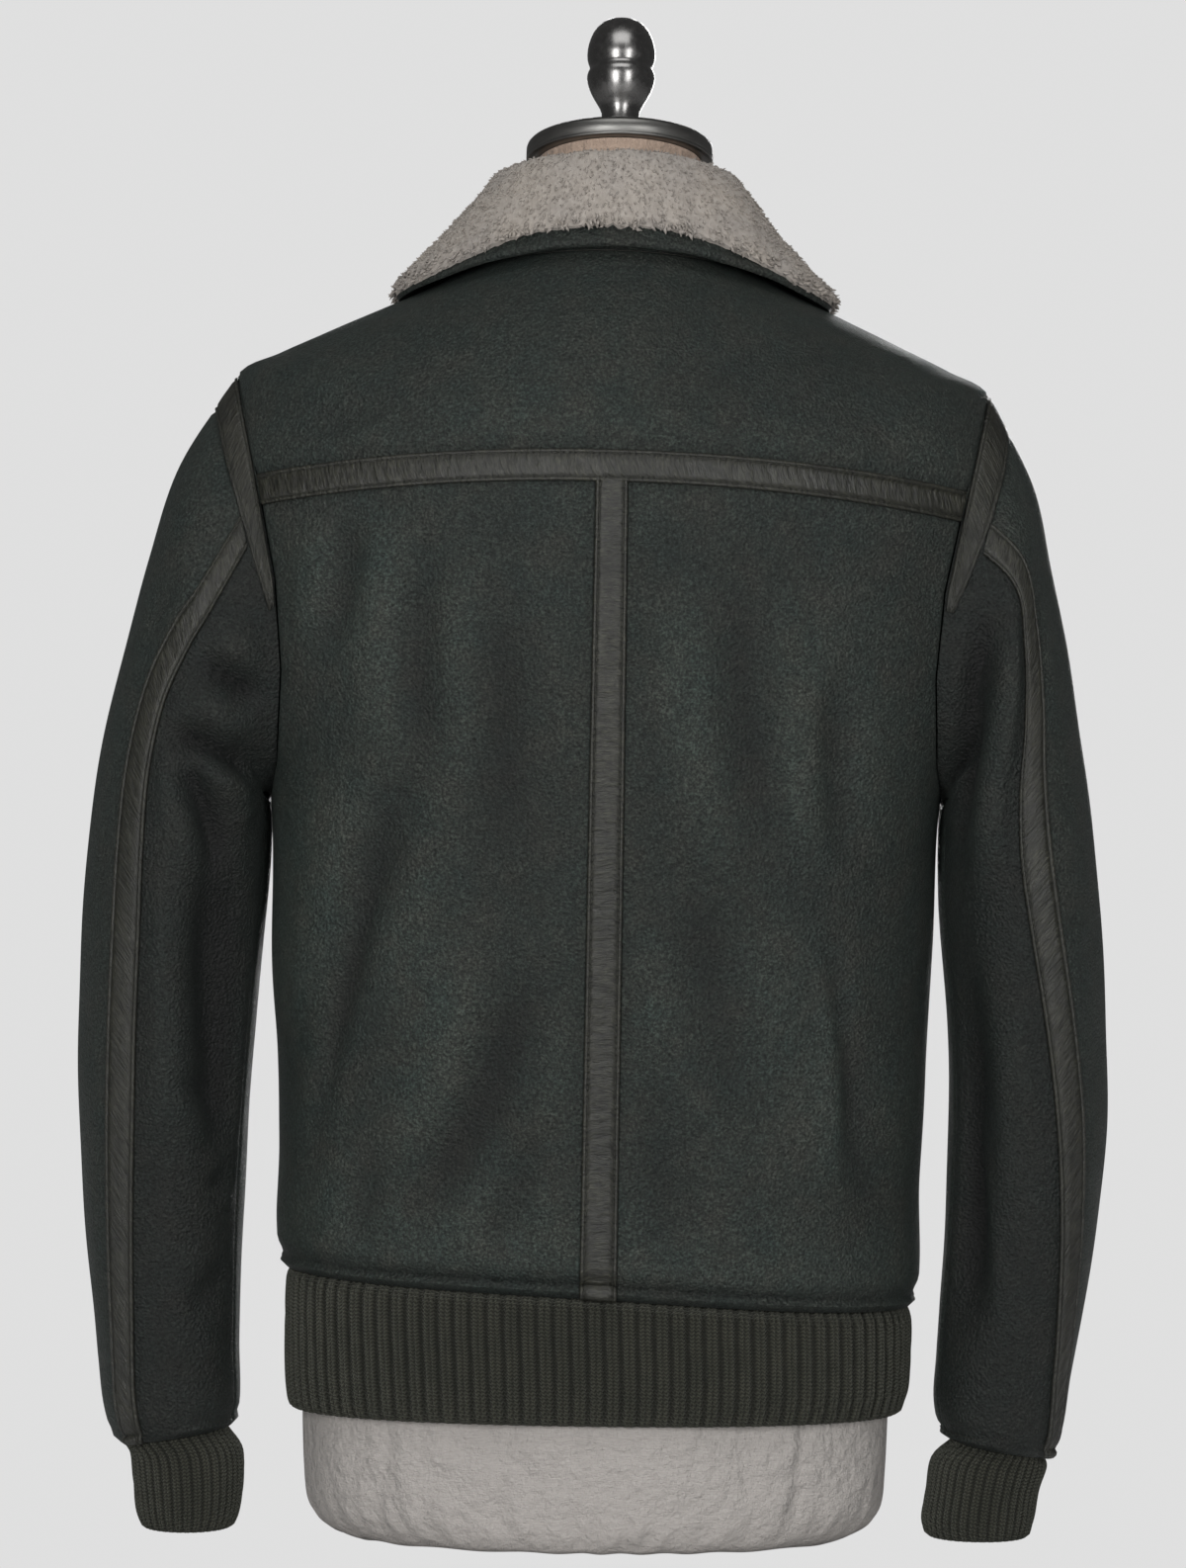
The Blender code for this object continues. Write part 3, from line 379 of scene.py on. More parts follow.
# %% Hide and leather
def make_hide(name, tone_and_shade):
    """Dark green nappa-finished sheepskin: mottled, pebbled, softly shining."""
    made, node, to_shader = new_material(
        name, Specular_IOR_Level=0.34, Sheen_Weight=0.03,
        Sheen_Roughness=0.5, Sheen_Tint=(0.70, 0.85, 0.80, 1.0))
    place = node("ShaderNodeTexCoord").outputs["Object"]
    clouds = noise(node, place, 38.0, 5.0, 0.66)
    tones = ((0.34, (0.0094, 0.0136, 0.0118)), (0.50, (0.0118, 0.0150, 0.0126)),
             (0.66, (0.0148, 0.0164, 0.0136)))
    base = ramp(node, clouds, *((at, tuple(tone_and_shade * v for v in tone)) for at, tone in tones))
    pebbles = cells(node, place, 640.0, "SMOOTH_F1")
    fine = noise(node, place, 620.0, 5.0, 0.75)
    specks = ramp(node, fine, (0.36, 0.24), (0.50, 0.88), (0.64, 2.50))
    grainy = blended(node, 1.0, base, specks, "MULTIPLY")
    # Painted shade darkens the folds' troughs and painted highlights lighten their ridges.
    for attribute, shade in (("sunk", 0.18), ("raised", 1.70)):
        amount = node("ShaderNodeAttribute", {"attribute_name": attribute}).outputs["Fac"]
        painted_fold_shading = ramp(node, amount, (0.08, 1.0), (0.90, shade))
        grainy = blended(node, 1.0, grainy, painted_fold_shading, "MULTIPLY")
    to_shader("Base Color", grainy)
    wear_and_rib_shade = ramp(node, noise(node, place, 26.0, 3.0), (0.3, 0.48), (0.7, 0.64))
    to_shader("Roughness", wear_and_rib_shade)
    grain = maths(node, "ADD", pebbles, maths(node, "MULTIPLY", fine, 0.8))
    dimples = bump(node, grain, 1.0, 0.0012)
    broad = noise(node, place, 90.0, 2.0, 0.5)
    to_shader("Normal", bump(node, broad, 0.25, 0.0030, dimples))
    return made


def make_strip_leather():
    """Smooth olive brown leather that wrinkles across the strip."""
    made, node, to_shader = new_material(
        "strip_leather", Specular_IOR_Level=0.46, Coat_Weight=0.05, Coat_Roughness=0.3)
    coords = node("ShaderNodeTexCoord")
    cut = node("ShaderNodeMapping", Vector=coords.outputs["UV"],
               Scale=(130.0, 480.0, 1.0)).outputs[0]
    long = node("ShaderNodeMapping", Vector=coords.outputs["UV"],
                Scale=(55.0, 150.0, 1.0)).outputs[0]
    wrinkles = noise(node, cut, 1.0, 4.0, 0.65)
    swells = noise(node, long, 1.0, 2.0, 0.5)
    cracks = cells(node, cut, 1.6, "DISTANCE_TO_EDGE")
    tone = noise(node, coords.outputs["Object"], 45.0, 4.0, 0.6)
    base = ramp(node, tone, (0.35, (0.0150, 0.0158, 0.0112)), (0.65, (0.0255, 0.0255, 0.0180)))
    lines = ramp(node, cracks, (0.0, 0.45), (0.22, 1.0))
    # Painted shade in the stitch grooves and at the rolled edges, and painted light and shade on
    # the wrinkles.
    sunk = node("ShaderNodeAttribute", {"attribute_name": "sunk"}).outputs["Fac"]
    painted_groove_shade = ramp(node, sunk, (0.20, 1.0), (0.85, 0.18))
    painted_wrinkle_light_and_shade = ramp(node, wrinkles, (0.36, 0.40), (0.64, 1.85))
    for shade in (lines, painted_wrinkle_light_and_shade, painted_groove_shade):
        base = blended(node, 1.0, base, shade, "MULTIPLY")
    to_shader("Base Color", base)
    to_shader("Roughness", ramp(node, swells, (0.3, 0.30), (0.7, 0.50)))
    rough = bump(node, wrinkles, 1.0, 0.0013)
    folds = bump(node, swells, 0.60, 0.0020, rough)
    to_shader("Normal", bump(node, cracks, 0.45, 0.0004, folds))
    return made


hide = make_hide("sheepskin_hide", 1.25)
sleeve_hide = make_hide("sheepskin_sleeve", 1.35)
shaded_under_hide = make_hide("sheepskin_under_sleeve", 0.60)   # painted shade: a darker copy of the hide for the under pieces, which turn towards the body
strip_leather = make_strip_leather()
print("made", hide.name, strip_leather.name)

# %% [markdown]
# ## Folds
# Sheepskin is thick, so it doesn't crease sharply: it rolls into long, shallow
# troughs. Each fold below is drawn on the back view as a bent line from one
# point to another, with a width and a depth. A trough pushes the hide inwards
# and leaves a softer ridge on one side of it, which is what catches the light.

# %% Folds of the two back panels and the yoke
BACK_FOLDS = (
    # x0     z0     x1     z1     bend    width  depth   ridge
    (-0.098, 0.575, -0.094, 0.440, 0.004, 0.013, 0.0030, 0.8),
    (-0.142, 0.590, -0.150, 0.515, -0.004, 0.010, 0.0026, 0.7),
    (-0.108, 0.440, -0.148, 0.275, 0.006, 0.014, 0.0026, 0.9),
    (-0.120, 0.395, -0.157, 0.225, 0.004, 0.005, 0.0012, 0.8),
    (-0.040, 0.330, -0.092, 0.195, -0.006, 0.016, 0.0030, 0.9),
    (-0.030, 0.240, -0.060, 0.160, 0.002, 0.011, 0.0018, 0.8),
    (-0.122, 0.230, -0.130, 0.160, 0.003, 0.009, 0.0016, 0.6),
    (-0.060, 0.560, -0.052, 0.400, -0.003, 0.016, 0.0018, 0.6),
    (0.078, 0.560, 0.102, 0.390, 0.006, 0.016, 0.0026, 0.8),
    (0.136, 0.500, 0.142, 0.395, 0.004, 0.010, 0.0026, 0.7),
    (0.132, 0.350, 0.146, 0.215, -0.005, 0.005, 0.0013, 0.9),
    (0.060, 0.380, 0.086, 0.240, 0.004, 0.018, 0.0020, 0.7),
    (0.150, 0.300, 0.158, 0.190, 0.003, 0.010, 0.0018, 0.6),
    (0.034, 0.300, 0.040, 0.170, -0.003, 0.014, 0.0014, 0.7),
    (-0.165, 0.640, -0.120, 0.655, 0.004, 0.010, 0.0014, 0.5),
    (0.150, 0.632, 0.185, 0.615, 0.004, 0.010, 0.0016, 0.5),
)
FRONT_FOLDS = (
    (-0.120, 0.520, -0.100, 0.380, 0.006, 0.014, 0.0028, 0.8),
    (-0.060, 0.330, -0.095, 0.190, -0.006, 0.016, 0.0026, 0.8),
    (-0.150, 0.460, -0.130, 0.350, 0.004, 0.010, 0.0024, 0.7),
    (-0.035, 0.500, -0.045, 0.340, 0.003, 0.015, 0.0018, 0.6),
    (0.125, 0.500, 0.104, 0.350, -0.005, 0.014, 0.0028, 0.8),
    (0.066, 0.320, 0.102, 0.180, 0.005, 0.016, 0.0024, 0.8),
    (0.156, 0.430, 0.148, 0.300, -0.003, 0.010, 0.0022, 0.7),
    (0.042, 0.480, 0.050, 0.360, -0.003, 0.014, 0.0018, 0.6),
)


def fold_relief(x, z, folds):
    """How far the listed folds push a surface out, in metres."""
    relief = np.zeros(np.shape(x))
    for x0, z0, x1, z1, bend, width, depth, ridge in folds:
        dx, dz = x1 - x0, z1 - z0
        run = math.hypot(dx, dz)
        along = ((x - x0) * dx + (z - z0) * dz) / run ** 2
        beside = ((x - x0) * dz - (z - z0) * dx) / run
        beside = beside - bend * 4.0 * np.clip(along, 0, 1) * (1.0 - np.clip(along, 0, 1))
        fade = smooth(along, -0.12, 0.30) * (1.0 - smooth(along, 0.62, 1.12))
        relief -= depth * fade * hump(beside, 0.0, width)
        relief += depth * ridge * fade * hump(beside, 1.9 * width, 1.3 * width)
        relief += 0.45 * depth * ridge * fade * hump(beside, -2.1 * width, 1.2 * width)
    return relief


def undulation(x, z, seed):
    """Slow unevenness of a thick hide: three crossed waves, a millimetre high."""
    a = np.sin(21.0 * x + 13.0 * z + seed) * np.sin(17.0 * z - 9.0 * x + 2.1 * seed)
    b = np.sin(47.0 * x - 29.0 * z + 1.7 * seed) * np.sin(38.0 * z + 31.0 * x + seed)
    return 0.0009 * a + 0.0004 * b


# %% [markdown]
# ## Edges of a panel
# A sewn edge is never a square cut. Under a strip the hide lies flat, beside it
# the wool inside makes the hide puff up again, and at a plain seam both edges
# roll down into a narrow valley.

# %% Edge profiles
def puffed(d, flat, height=0.0016):
    """Flat under a strip, then the swell of thick hide beside its stitches."""
    return height * smooth(d, flat, flat + 0.009) * (1.0 - 0.8 * smooth(d, 0.015, 0.060))


def rolled(d, radius=0.0030, drop=0.0022):
    """A seam's edge turned down."""
    inside = np.clip(1.0 - d / radius, 0.0, 1.0)
    return -drop * (1.0 - np.sqrt(1.0 - 0.98 * inside ** 2))


WELT = 0.0078            # the stitched roll along the hem seam


def welt(d):
    """The roll at the hem: a bead, the valley of its stitches, a full panel above."""
    bead = 0.0014 * np.sqrt(np.clip(1.0 - ((d - 0.5 * WELT) / (0.5 * WELT)) ** 2, 0.0, 1.0))
    valley = -0.0018 * hump(d, WELT + 0.0004, 0.0015)
    above = 0.0030 * smooth(d, WELT, WELT + 0.0100) * (1.0 - 0.85 * smooth(d, 0.020, 0.075))
    return bead + valley + above + rolled(d, 0.0030, 0.0030)


# %% [markdown]
# ## The body's five panels
# Two backs, two fronts and a yoke that wraps over the shoulders. A panel is the
# coat's surface between two seams: each row of its grid runs from one seam's
# angle to the other's, with the points spread evenly.

# %% Panels
MESH_STEP = 0.0038       # size of a panel's grid squares
FRONT_STEP = 0.0050      # and of the fronts', which have no strips


def panel_grid(low, high, first, last, step=MESH_STEP):
    """Points of a panel between ring numbers low and high and two angles."""
    dense = np.linspace(low, high, 300)
    middle = coat_points(0.5 * (first(dense) + last(dense)), dense)
    rows = int(lengths(middle)[-1] / step) + 1
    t = evenly(dense, middle, rows)
    start, end = first(t), last(t)
    fine = np.linspace(0.0, 1.0, 160)
    angles = start[:, None] + (end - start)[:, None] * fine
    lines = coat_points(angles, t[:, None])
    cols = int(lengths(lines).max() / step) + 1
    spread = np.stack([evenly(a, line, cols) for a, line in zip(angles, lines)])
    return coat_points(spread, t[:, None]), spread, t


def from_edges(points):
    """Distance of each grid point from the first and last column and row."""
    across, along = lengths(points), lengths(np.swapaxes(points, 0, 1)).T
    return across, across[:, -1:] - across, along, along[-1:] - along


def facing_out(points):
    normals = grid_normals(points)
    middle = normals[points.shape[0] // 2, points.shape[1] // 2]
    centre = points[points.shape[0] // 2, points.shape[1] // 2]
    outwards = np.array((centre[0] - STAND[0], centre[1] - STAND[1], 0.0))
    return normals if np.dot(middle, outwards) > 0 else -normals


PANEL_SHADE = 0.0042     # relief at which a panel's fold is shaded in full
SLEEVE_SHADE = 0.0080    # and a sleeve's, which are deeper


def clipped(relief, lowest=-0.0033):
    """Keeps a trough inside the hide's room, without a hard floor."""
    return np.where(relief < 0.0, lowest * np.tanh(relief / lowest), relief)


def shade_folds(piece, relief, full):
    """Painted shade in the troughs and painted highlights on the ridges, stored for the hide's
    colour.
    """
    zero = np.zeros(relief.size)
    for name, height in (("sunk", -relief), ("raised", relief)):
        values = np.clip(height / full, 0.0, 1.0).ravel()
        give(piece.data, name, "FLOAT", np.concatenate([values, zero]))


def make_panel(name, points, relief, wall=HIDE):
    normals = facing_out(points)
    outer = points + normals * clipped(relief)[..., None]
    inner = points + normals * (clipped(0.75 * relief, -0.0025) - wall)[..., None]
    piece = shell(name, outer, inner)
    shade_folds(piece, clipped(relief), PANEL_SHADE)
    return piece


FOLD_GAIN, UNDULATION_GAIN = 1.6, 1.3    # how boldly the back shows its folds


def back_relief(points, folds, seed):
    x, z = points[..., 0], points[..., 2]
    return FOLD_GAIN * fold_relief(x, z, folds) + UNDULATION_GAIN * undulation(x, z, seed)


def make_back(side, sign):
    first = lambda t: sign * offset_angles(t, 0.0008)
    last = lambda t: sign * edge_angles(t, False)
    points, _, _ = panel_grid(0, 6.985, first, last)
    d_middle, d_side, d_low, d_top = from_edges(points)
    near = smooth(d_middle, 0.010, 0.030) * smooth(d_side, 0.002, 0.020) * smooth(
        d_top, 0.010, 0.035) * smooth(d_low, 0.010, 0.040)
    relief = near * back_relief(points, BACK_FOLDS, 1.0 + sign)
    relief += np.minimum(puffed(d_middle, 0.0100), puffed(d_top, 0.0090)) * smooth(
        d_low, 0.010, 0.035)
    relief += rolled(d_side) + welt(d_low)
    return make_panel(f"back_{side}", points, relief)


def make_yoke():
    points, _, _ = panel_grid(7.015, NECK, lambda t: -edge_angles(t, False),
                              lambda t: edge_angles(t, False))
    d_left, d_right, d_low, d_top = from_edges(points)
    d_side = np.minimum(d_left, d_right)
    near = smooth(d_side, 0.002, 0.025) * smooth(d_low, 0.010, 0.030) * smooth(
        d_top, 0.008, 0.030)
    relief = near * back_relief(points, BACK_FOLDS, 3.0)
    relief += puffed(d_low, 0.0095) + rolled(d_side, 0.0030, 0.0016)
    relief += 0.0012 * hump(d_top, 0.0026, 0.0020)
    return make_panel("yoke", points, relief)


def make_front(side, sign):
    first = lambda t: sign * edge_angles(t, True)
    last = lambda t: sign * offset_angles(t, ZIP_HALF, True)
    points, _, t = panel_grid(0, NECK, first, last, FRONT_STEP)
    d_side, d_zip, d_low, d_top = from_edges(points)
    near = smooth(d_side, 0.002, 0.025) * smooth(d_zip, 0.008, 0.025) * smooth(
        d_low, 0.010, 0.040) * smooth(d_top, 0.010, 0.040)
    relief = near * (fold_relief(points[..., 0], points[..., 2], FRONT_FOLDS)
                     + undulation(points[..., 0], points[..., 2], 5.0 + sign))
    relief += rolled(d_side, 0.0030, 0.0016) + rolled(d_zip, 0.0030, 0.0022) + welt(d_low)
    relief -= 0.0006 * hump(d_zip, 0.0065, 0.0010)
    return make_panel(f"front_{side}", points, relief)


SIDES = (("left", -1.0), ("right", 1.0))
yoke = make_yoke()
backs = {side: make_back(side, sign) for side, sign in SIDES}
fronts = {side: make_front(side, sign) for side, sign in SIDES}
for panel in (yoke, *backs.values(), *fronts.values()):
    panel.data.materials.append(hide)
    report(panel)

# %% [markdown]
# ## Sleeves
# A sleeve starts on the armhole seam and runs down through tilted rings to the
# cuff. It has two pieces, an upper and an under one, which meet at a seam
# under the arm and at the covered seam down the back. The sleeves hang empty,
# so they carry the coat's deepest folds.

# %% Sleeve tables
SLEEVE = {
    "left": np.array((
        # x_out  z_out   x_in    z_in    y_mid    half_d  power strip_angle
        (0.2520, 0.6170, 0.1975, 0.4275, -0.0010, 0.0830, 2.2, 79.8),
        (0.2690, 0.5650, 0.1962, 0.4250, -0.0010, 0.0825, 2.2, 72.5),
        (0.2824, 0.5126, 0.1956, 0.4180, -0.0020, 0.0815, 2.2, 64.5),
        (0.2931, 0.4605, 0.1958, 0.4040, -0.0030, 0.0800, 2.2, 62.5),
        (0.3003, 0.4084, 0.1968, 0.3800, -0.0040, 0.0780, 2.2, 64.8),
        (0.3045, 0.3505, 0.1988, 0.3487, -0.0050, 0.0745, 2.2, 67.0),
        (0.3053, 0.2927, 0.2027, 0.2967, -0.0060, 0.0700, 2.2, 67.2),
        (0.3031, 0.2349, 0.2062, 0.2417, -0.0070, 0.0655, 2.2, 66.0),
        (0.2993, 0.1771, 0.2085, 0.1867, -0.0080, 0.0605, 2.2, 64.0),
        (0.2944, 0.1309, 0.2090, 0.1376, -0.0090, 0.0560, 2.2, 61.0),
        (0.2885, 0.0876, 0.2090, 0.0942, -0.0100, 0.0510, 2.2, 57.0),
        (0.2786, 0.0525, 0.2096, 0.0636, -0.0100, 0.0450, 2.2, 53.0),
    )),
    "right": np.array((
        (0.2450, 0.6200, 0.1975, 0.4275, -0.0010, 0.0830, 2.2, 65.2),
        (0.2576, 0.5703, 0.1962, 0.4250, -0.0010, 0.0825, 2.2, 66.0),
        (0.2684, 0.5184, 0.1955, 0.4180, -0.0020, 0.0815, 2.2, 73.5),
        (0.2762, 0.4664, 0.1950, 0.4050, -0.0030, 0.0800, 2.2, 80.5),
        (0.2834, 0.4145, 0.1948, 0.3830, -0.0040, 0.0780, 2.2, 82.2),
        (0.2895, 0.3625, 0.1958, 0.3580, -0.0050, 0.0745, 2.2, 79.5),
        (0.2934, 0.3047, 0.2015, 0.3038, -0.0060, 0.0700, 2.2, 73.0),
        (0.2944, 0.2469, 0.2037, 0.2460, -0.0070, 0.0655, 2.2, 65.0),
        (0.2900, 0.1891, 0.2020, 0.1882, -0.0080, 0.0605, 2.2, 56.0),
        (0.2832, 0.1370, 0.1990, 0.1332, -0.0090, 0.0560, 2.2, 48.0),
        (0.2760, 0.0936, 0.1975, 0.0899, -0.0100, 0.0510, 2.2, 41.0),
        (0.2668, 0.0501, 0.2030, 0.0600, -0.0100, 0.0450, 2.2, 34.0),
    )),
}
UNDER_SEAM = 162.0       # angle of the seam under the arm, degrees
BACK_SEAM = 6.78         # ring number where the sleeve's covered seam starts
SLEEVE_STRIP_HALF = 0.0098


def sleeve_ring(row, degrees, sign):
    """A point of a sleeve's ring: 0 outermost, 90 at the back, 180 innermost."""
    x_out, z_out, x_in, z_in, y_mid, half_d, n = np.moveaxis(row[..., :7], -1, 0)
    angle = np.radians(degrees)
    c, s = power(np.cos(angle), n), power(np.sin(angle), n)
    return lean(sign * (0.5 * (x_out + x_in) + 0.5 * (x_out - x_in) * c), y_mid - half_d * s,
                0.5 * (z_out + z_in) + 0.5 * (z_out - z_in) * c)


def armhole_line(sign):
    """The armhole seam as points against their turn round it, in degrees."""
    down = np.linspace(TIP - 1e-4, PIT + 1e-4, 400)
    points = np.concatenate([
        coat_points(sign * edge_angles(down, False), down),
        coat_points(sign * edge_angles(down[::-1], True), down[::-1])])
    back = points[:, 1] - STAND[1]
    height = (points[:, 2] - 0.5505) / 0.1205
    turns = np.degrees(np.arctan2(-back / 0.08, height)) % 360.0
    order = np.argsort(turns)
    return turns[order], points[order], turns[np.argmin(np.abs(down - BACK_SEAM))]


class Sleeve:
    """The sleeve's surface: q goes round it (0 back seam, 1 under seam, 2 back
    seam again) and s goes down it, from 0 at the armhole to 12 at the cuff."""

    def __init__(self, side, sign):
        self.rings, self.sign = SLEEVE[side], sign
        self.turns, self.armhole, self.seam = armhole_line(sign)
        self.last = len(self.rings)

    def controls(self, q):
        """The points of the armhole and of every ring for those q."""
        turn = np.where(q <= 1, self.seam + q * (180.0 - self.seam),
                        180.0 + (q - 1.0) * (self.seam + 180.0)) % 360.0
        top = np.stack([np.interp(turn, self.turns, self.armhole[:, k], period=360.0)
                        for k in range(3)], axis=-1)
        rows = [top]
        for ring in self.rings:
            strip = ring[7]
            degrees = np.where(q <= 1, strip + q * (UNDER_SEAM - strip),
                               UNDER_SEAM + (q - 1.0) * (strip + 360.0 - UNDER_SEAM))
            rows.append(sleeve_ring(ring, degrees, self.sign))
        return np.array(rows)

    def points(self, q, s):
        """Points for arrays q and s of one shape."""
        q, s = np.broadcast_arrays(np.asarray(q, float), np.asarray(s, float))
        rows = self.controls(q)
        i = np.clip(s.astype(int), 0, self.last - 1)
        f = (s - i)[..., None]
        picked = []
        for k in (-1, 0, 1, 2):
            index = np.clip(i + k, 0, self.last)
            picked.append(np.take_along_axis(rows, index[None, ..., None], axis=0)[0])
        p0, p1, p2, p3 = picked
        return p1 + 0.5 * f * (p2 - p0 + f * (2 * p0 - 5 * p1 + 4 * p2 - p3
                                              + f * (3 * (p1 - p2) + p3 - p0)))

    def grid(self, q0, q1, step):
        s0, s1 = 0.0, self.last
        dense = np.linspace(s0, s1, 300)
        middle = self.points(0.5 * (q0 + q1), dense)
        s = evenly(dense, middle, int(lengths(middle)[-1] / step) + 1)
        fine = np.linspace(q0, q1, 120)
        lines = self.points(fine[None, :], s[:, None])
        cols = int(lengths(lines).max() / step) + 1
        q = np.stack([evenly(fine, line, cols) for line in lines])
        points = self.points(q, s[:, None])
        middle_of = self.points(np.linspace(0, 2, 24)[None, :], s[:, None]).mean(axis=1)
        normals = grid_normals(points)
        out = np.einsum("ijk,ijk->ij", normals, points - middle_of[:, None])
        return points, normals * (1.0 if np.median(out) > 0 else -1.0), q, s


sleeves = {side: Sleeve(side, sign) for side, sign in SIDES}
print("back seams of the sleeves start at", [round(float(s.seam), 1) for s in sleeves.values()],
      "degrees round the armholes")

# %% Sleeve folds
SLEEVE_BACK_FOLDS = {
    "left": (
        # x0     z0     x1     z1     bend    width  depth   ridge
        (-0.176, 0.482, -0.229, 0.510, -0.003, 0.0085, 0.0085, 0.90),
        (-0.246, 0.466, -0.188, 0.437, -0.004, 0.0080, 0.0105, 0.45),
        (-0.240, 0.456, -0.213, 0.388, -0.004, 0.0090, 0.0120, 0.40),
        (-0.2125, 0.410, -0.190, 0.4300, 0.001, 0.0016, -0.0018, 0.00),
        (-0.181, 0.522, -0.208, 0.546, 0.002, 0.0065, 0.0035, 0.50),
        (-0.216, 0.400, -0.209, 0.215, 0.003, 0.0160, 0.0125, 0.45),
        (-0.222, 0.203, -0.198, 0.221, 0.003, 0.0055, 0.0035, 0.60),
        (-0.240, 0.266, -0.210, 0.246, -0.003, 0.0070, 0.0026, 0.60),
        (-0.205, 0.160, -0.226, 0.128, 0.004, 0.0080, 0.0030, 0.50),
        (-0.268, 0.420, -0.284, 0.350, 0.004, 0.0100, 0.0022, 0.60),
        (-0.246, 0.560, -0.262, 0.500, -0.003, 0.0090, 0.0022, 0.60),
        (-0.262, 0.230, -0.268, 0.120, 0.003, 0.0110, 0.0020, 0.60),
    ),
    "right": (
        (0.203, 0.386, 0.226, 0.549, -0.004, 0.0115, 0.0150, 0.50),
        (0.218, 0.130, 0.205, 0.352, 0.006, 0.0120, 0.0135, 0.30),
        (0.2355, 0.142, 0.2105, 0.345, -0.002, 0.0055, -0.0036, 0.00),
        (0.252, 0.493, 0.269, 0.460, 0.003, 0.0042, 0.0022, 0.70),
        (0.255, 0.443, 0.275, 0.421, -0.003, 0.0040, 0.0024, 0.70),
        (0.250, 0.404, 0.271, 0.425, 0.002, 0.0040, 0.0020, 0.70),
        (0.257, 0.348, 0.279, 0.368, 0.003, 0.0042, 0.0026, 0.70),
        (0.264, 0.334, 0.283, 0.320, -0.002, 0.0045, 0.0026, 0.70),
        (0.258, 0.318, 0.276, 0.333, 0.002, 0.0040, 0.0018, 0.70),
        (0.262, 0.286, 0.284, 0.300, -0.003, 0.0060, 0.0018, 0.60),
        (0.232, 0.470, 0.240, 0.370, -0.004, 0.0120, 0.0024, 0.60),
        (0.250, 0.250, 0.246, 0.130, 0.004, 0.0110, 0.0022, 0.60),
    ),
}
SLEEVE_FRONT_FOLDS = {
    "left": (
        (-0.184, 0.470, -0.232, 0.500, -0.006, 0.0080, 0.0090, 0.50),
        (-0.196, 0.410, -0.246, 0.440, -0.008, 0.0090, 0.0090, 0.50),
        (-0.202, 0.350, -0.262, 0.372, -0.006, 0.0090, 0.0060, 0.60),
        (-0.206, 0.290, -0.250, 0.306, 0.004, 0.0080, 0.0045, 0.60),
        (-0.222, 0.200, -0.240, 0.120, 0.004, 0.0110, 0.0030, 0.60),
    ),
    "right": (
        (0.186, 0.480, 0.228, 0.512, 0.006, 0.0080, 0.0090, 0.50),
        (0.196, 0.420, 0.240, 0.452, 0.008, 0.0090, 0.0090, 0.50),
        (0.200, 0.345, 0.262, 0.362, 0.006, 0.0090, 0.0060, 0.60),
        (0.206, 0.280, 0.246, 0.300, -0.004, 0.0080, 0.0050, 0.60),
        (0.236, 0.210, 0.226, 0.110, 0.004, 0.0110, 0.0030, 0.60),
    ),
}
SLEEVE_HEM = 0.0062      # stitched fold at the sleeve's end


def sleeve_end(d):
    """The sleeve's stitched end: a soft bead below the stitches' valley."""
    bead = 0.0010 * np.sqrt(np.clip(1.0 - ((d - 0.5 * SLEEVE_HEM) / (0.5 * SLEEVE_HEM)) ** 2,
                                    0.0, 1.0))
    above = 0.0014 * smooth(d, SLEEVE_HEM, 0.014) * (1.0 - smooth(d, 0.018, 0.05))
    return bead + above - 0.0009 * hump(d, SLEEVE_HEM, 0.0013) + rolled(d, 0.0030, 0.0030)


ARMHOLE_STRIP = np.array((
    # height  width of the strip over the armhole seam
    (0.5400, 0.0060),
    (0.5550, 0.0105),
    (0.5800, 0.0150),
    (0.6060, 0.0200),
    (0.6400, 0.0235),
    (0.6700, 0.0250),
))
PRESSED = 0.0016         # how far that strip presses the sleeve's hide down
DEEPEST_FOLD = 0.0160    # in the shade under the arm
UNDER_STEP, UPPER_STEP = 0.0040, 0.0046  # grid squares of a sleeve's two pieces


def armhole_strip_width(height):
    return np.interp(height, ARMHOLE_STRIP[:, 0], ARMHOLE_STRIP[:, 1])


def make_sleeve_piece(side, name, q0, q1):
    sleeve = sleeves[side]
    points, normals = sleeve.grid(q0, q1, UPPER_STEP if q0 else UNDER_STEP)[:2]
    d_first, d_last, d_top, d_end = from_edges(points)
    d_strip, d_under = (d_first, d_last) if q0 == 0 else (d_last, d_first)
    covered = armhole_strip_width(points[:1, :, 2])
    near = smooth(d_strip, SLEEVE_STRIP_HALF, 0.024) * smooth(d_under, 0.001, 0.016) * smooth(
        d_top, covered * 0.8, covered + 0.020) * smooth(d_end, 0.008, 0.040)
    x, z = points[..., 0], points[..., 2]
    behind = smooth(-normals[..., 1], 0.20, 0.60)
    before = smooth(normals[..., 1], 0.20, 0.60)
    relief = near * (behind * fold_relief(x, z, SLEEVE_BACK_FOLDS[side])
                     + before * fold_relief(x, z, SLEEVE_FRONT_FOLDS[side])
                     + undulation(x + 0.7 * points[..., 1], z, 7.0 + sleeve.sign))
    relief += np.minimum(puffed(d_strip, SLEEVE_STRIP_HALF), puffed(d_top, covered, 0.0013))
    relief += rolled(d_under, 0.0030, 0.0018) + sleeve_end(d_end)
    relief -= PRESSED * (1.0 - smooth(d_top, covered, covered + 0.0020)) * smooth(
        points[:1, :, 2], ARMHOLE_STRIP[0, 0] - 0.02, ARMHOLE_STRIP[0, 0])
    relief = np.maximum(relief, -DEEPEST_FOLD)
    outer = points + normals * relief[..., None]
    inner = points + normals * (relief - HIDE)[..., None]
    piece = shell(f"sleeve_{side}_{name}", outer, inner)
    shade_folds(piece, relief, SLEEVE_SHADE)
    piece.data.materials.append(sleeve_hide if q0 else shaded_under_hide)
    report(piece)
    return piece


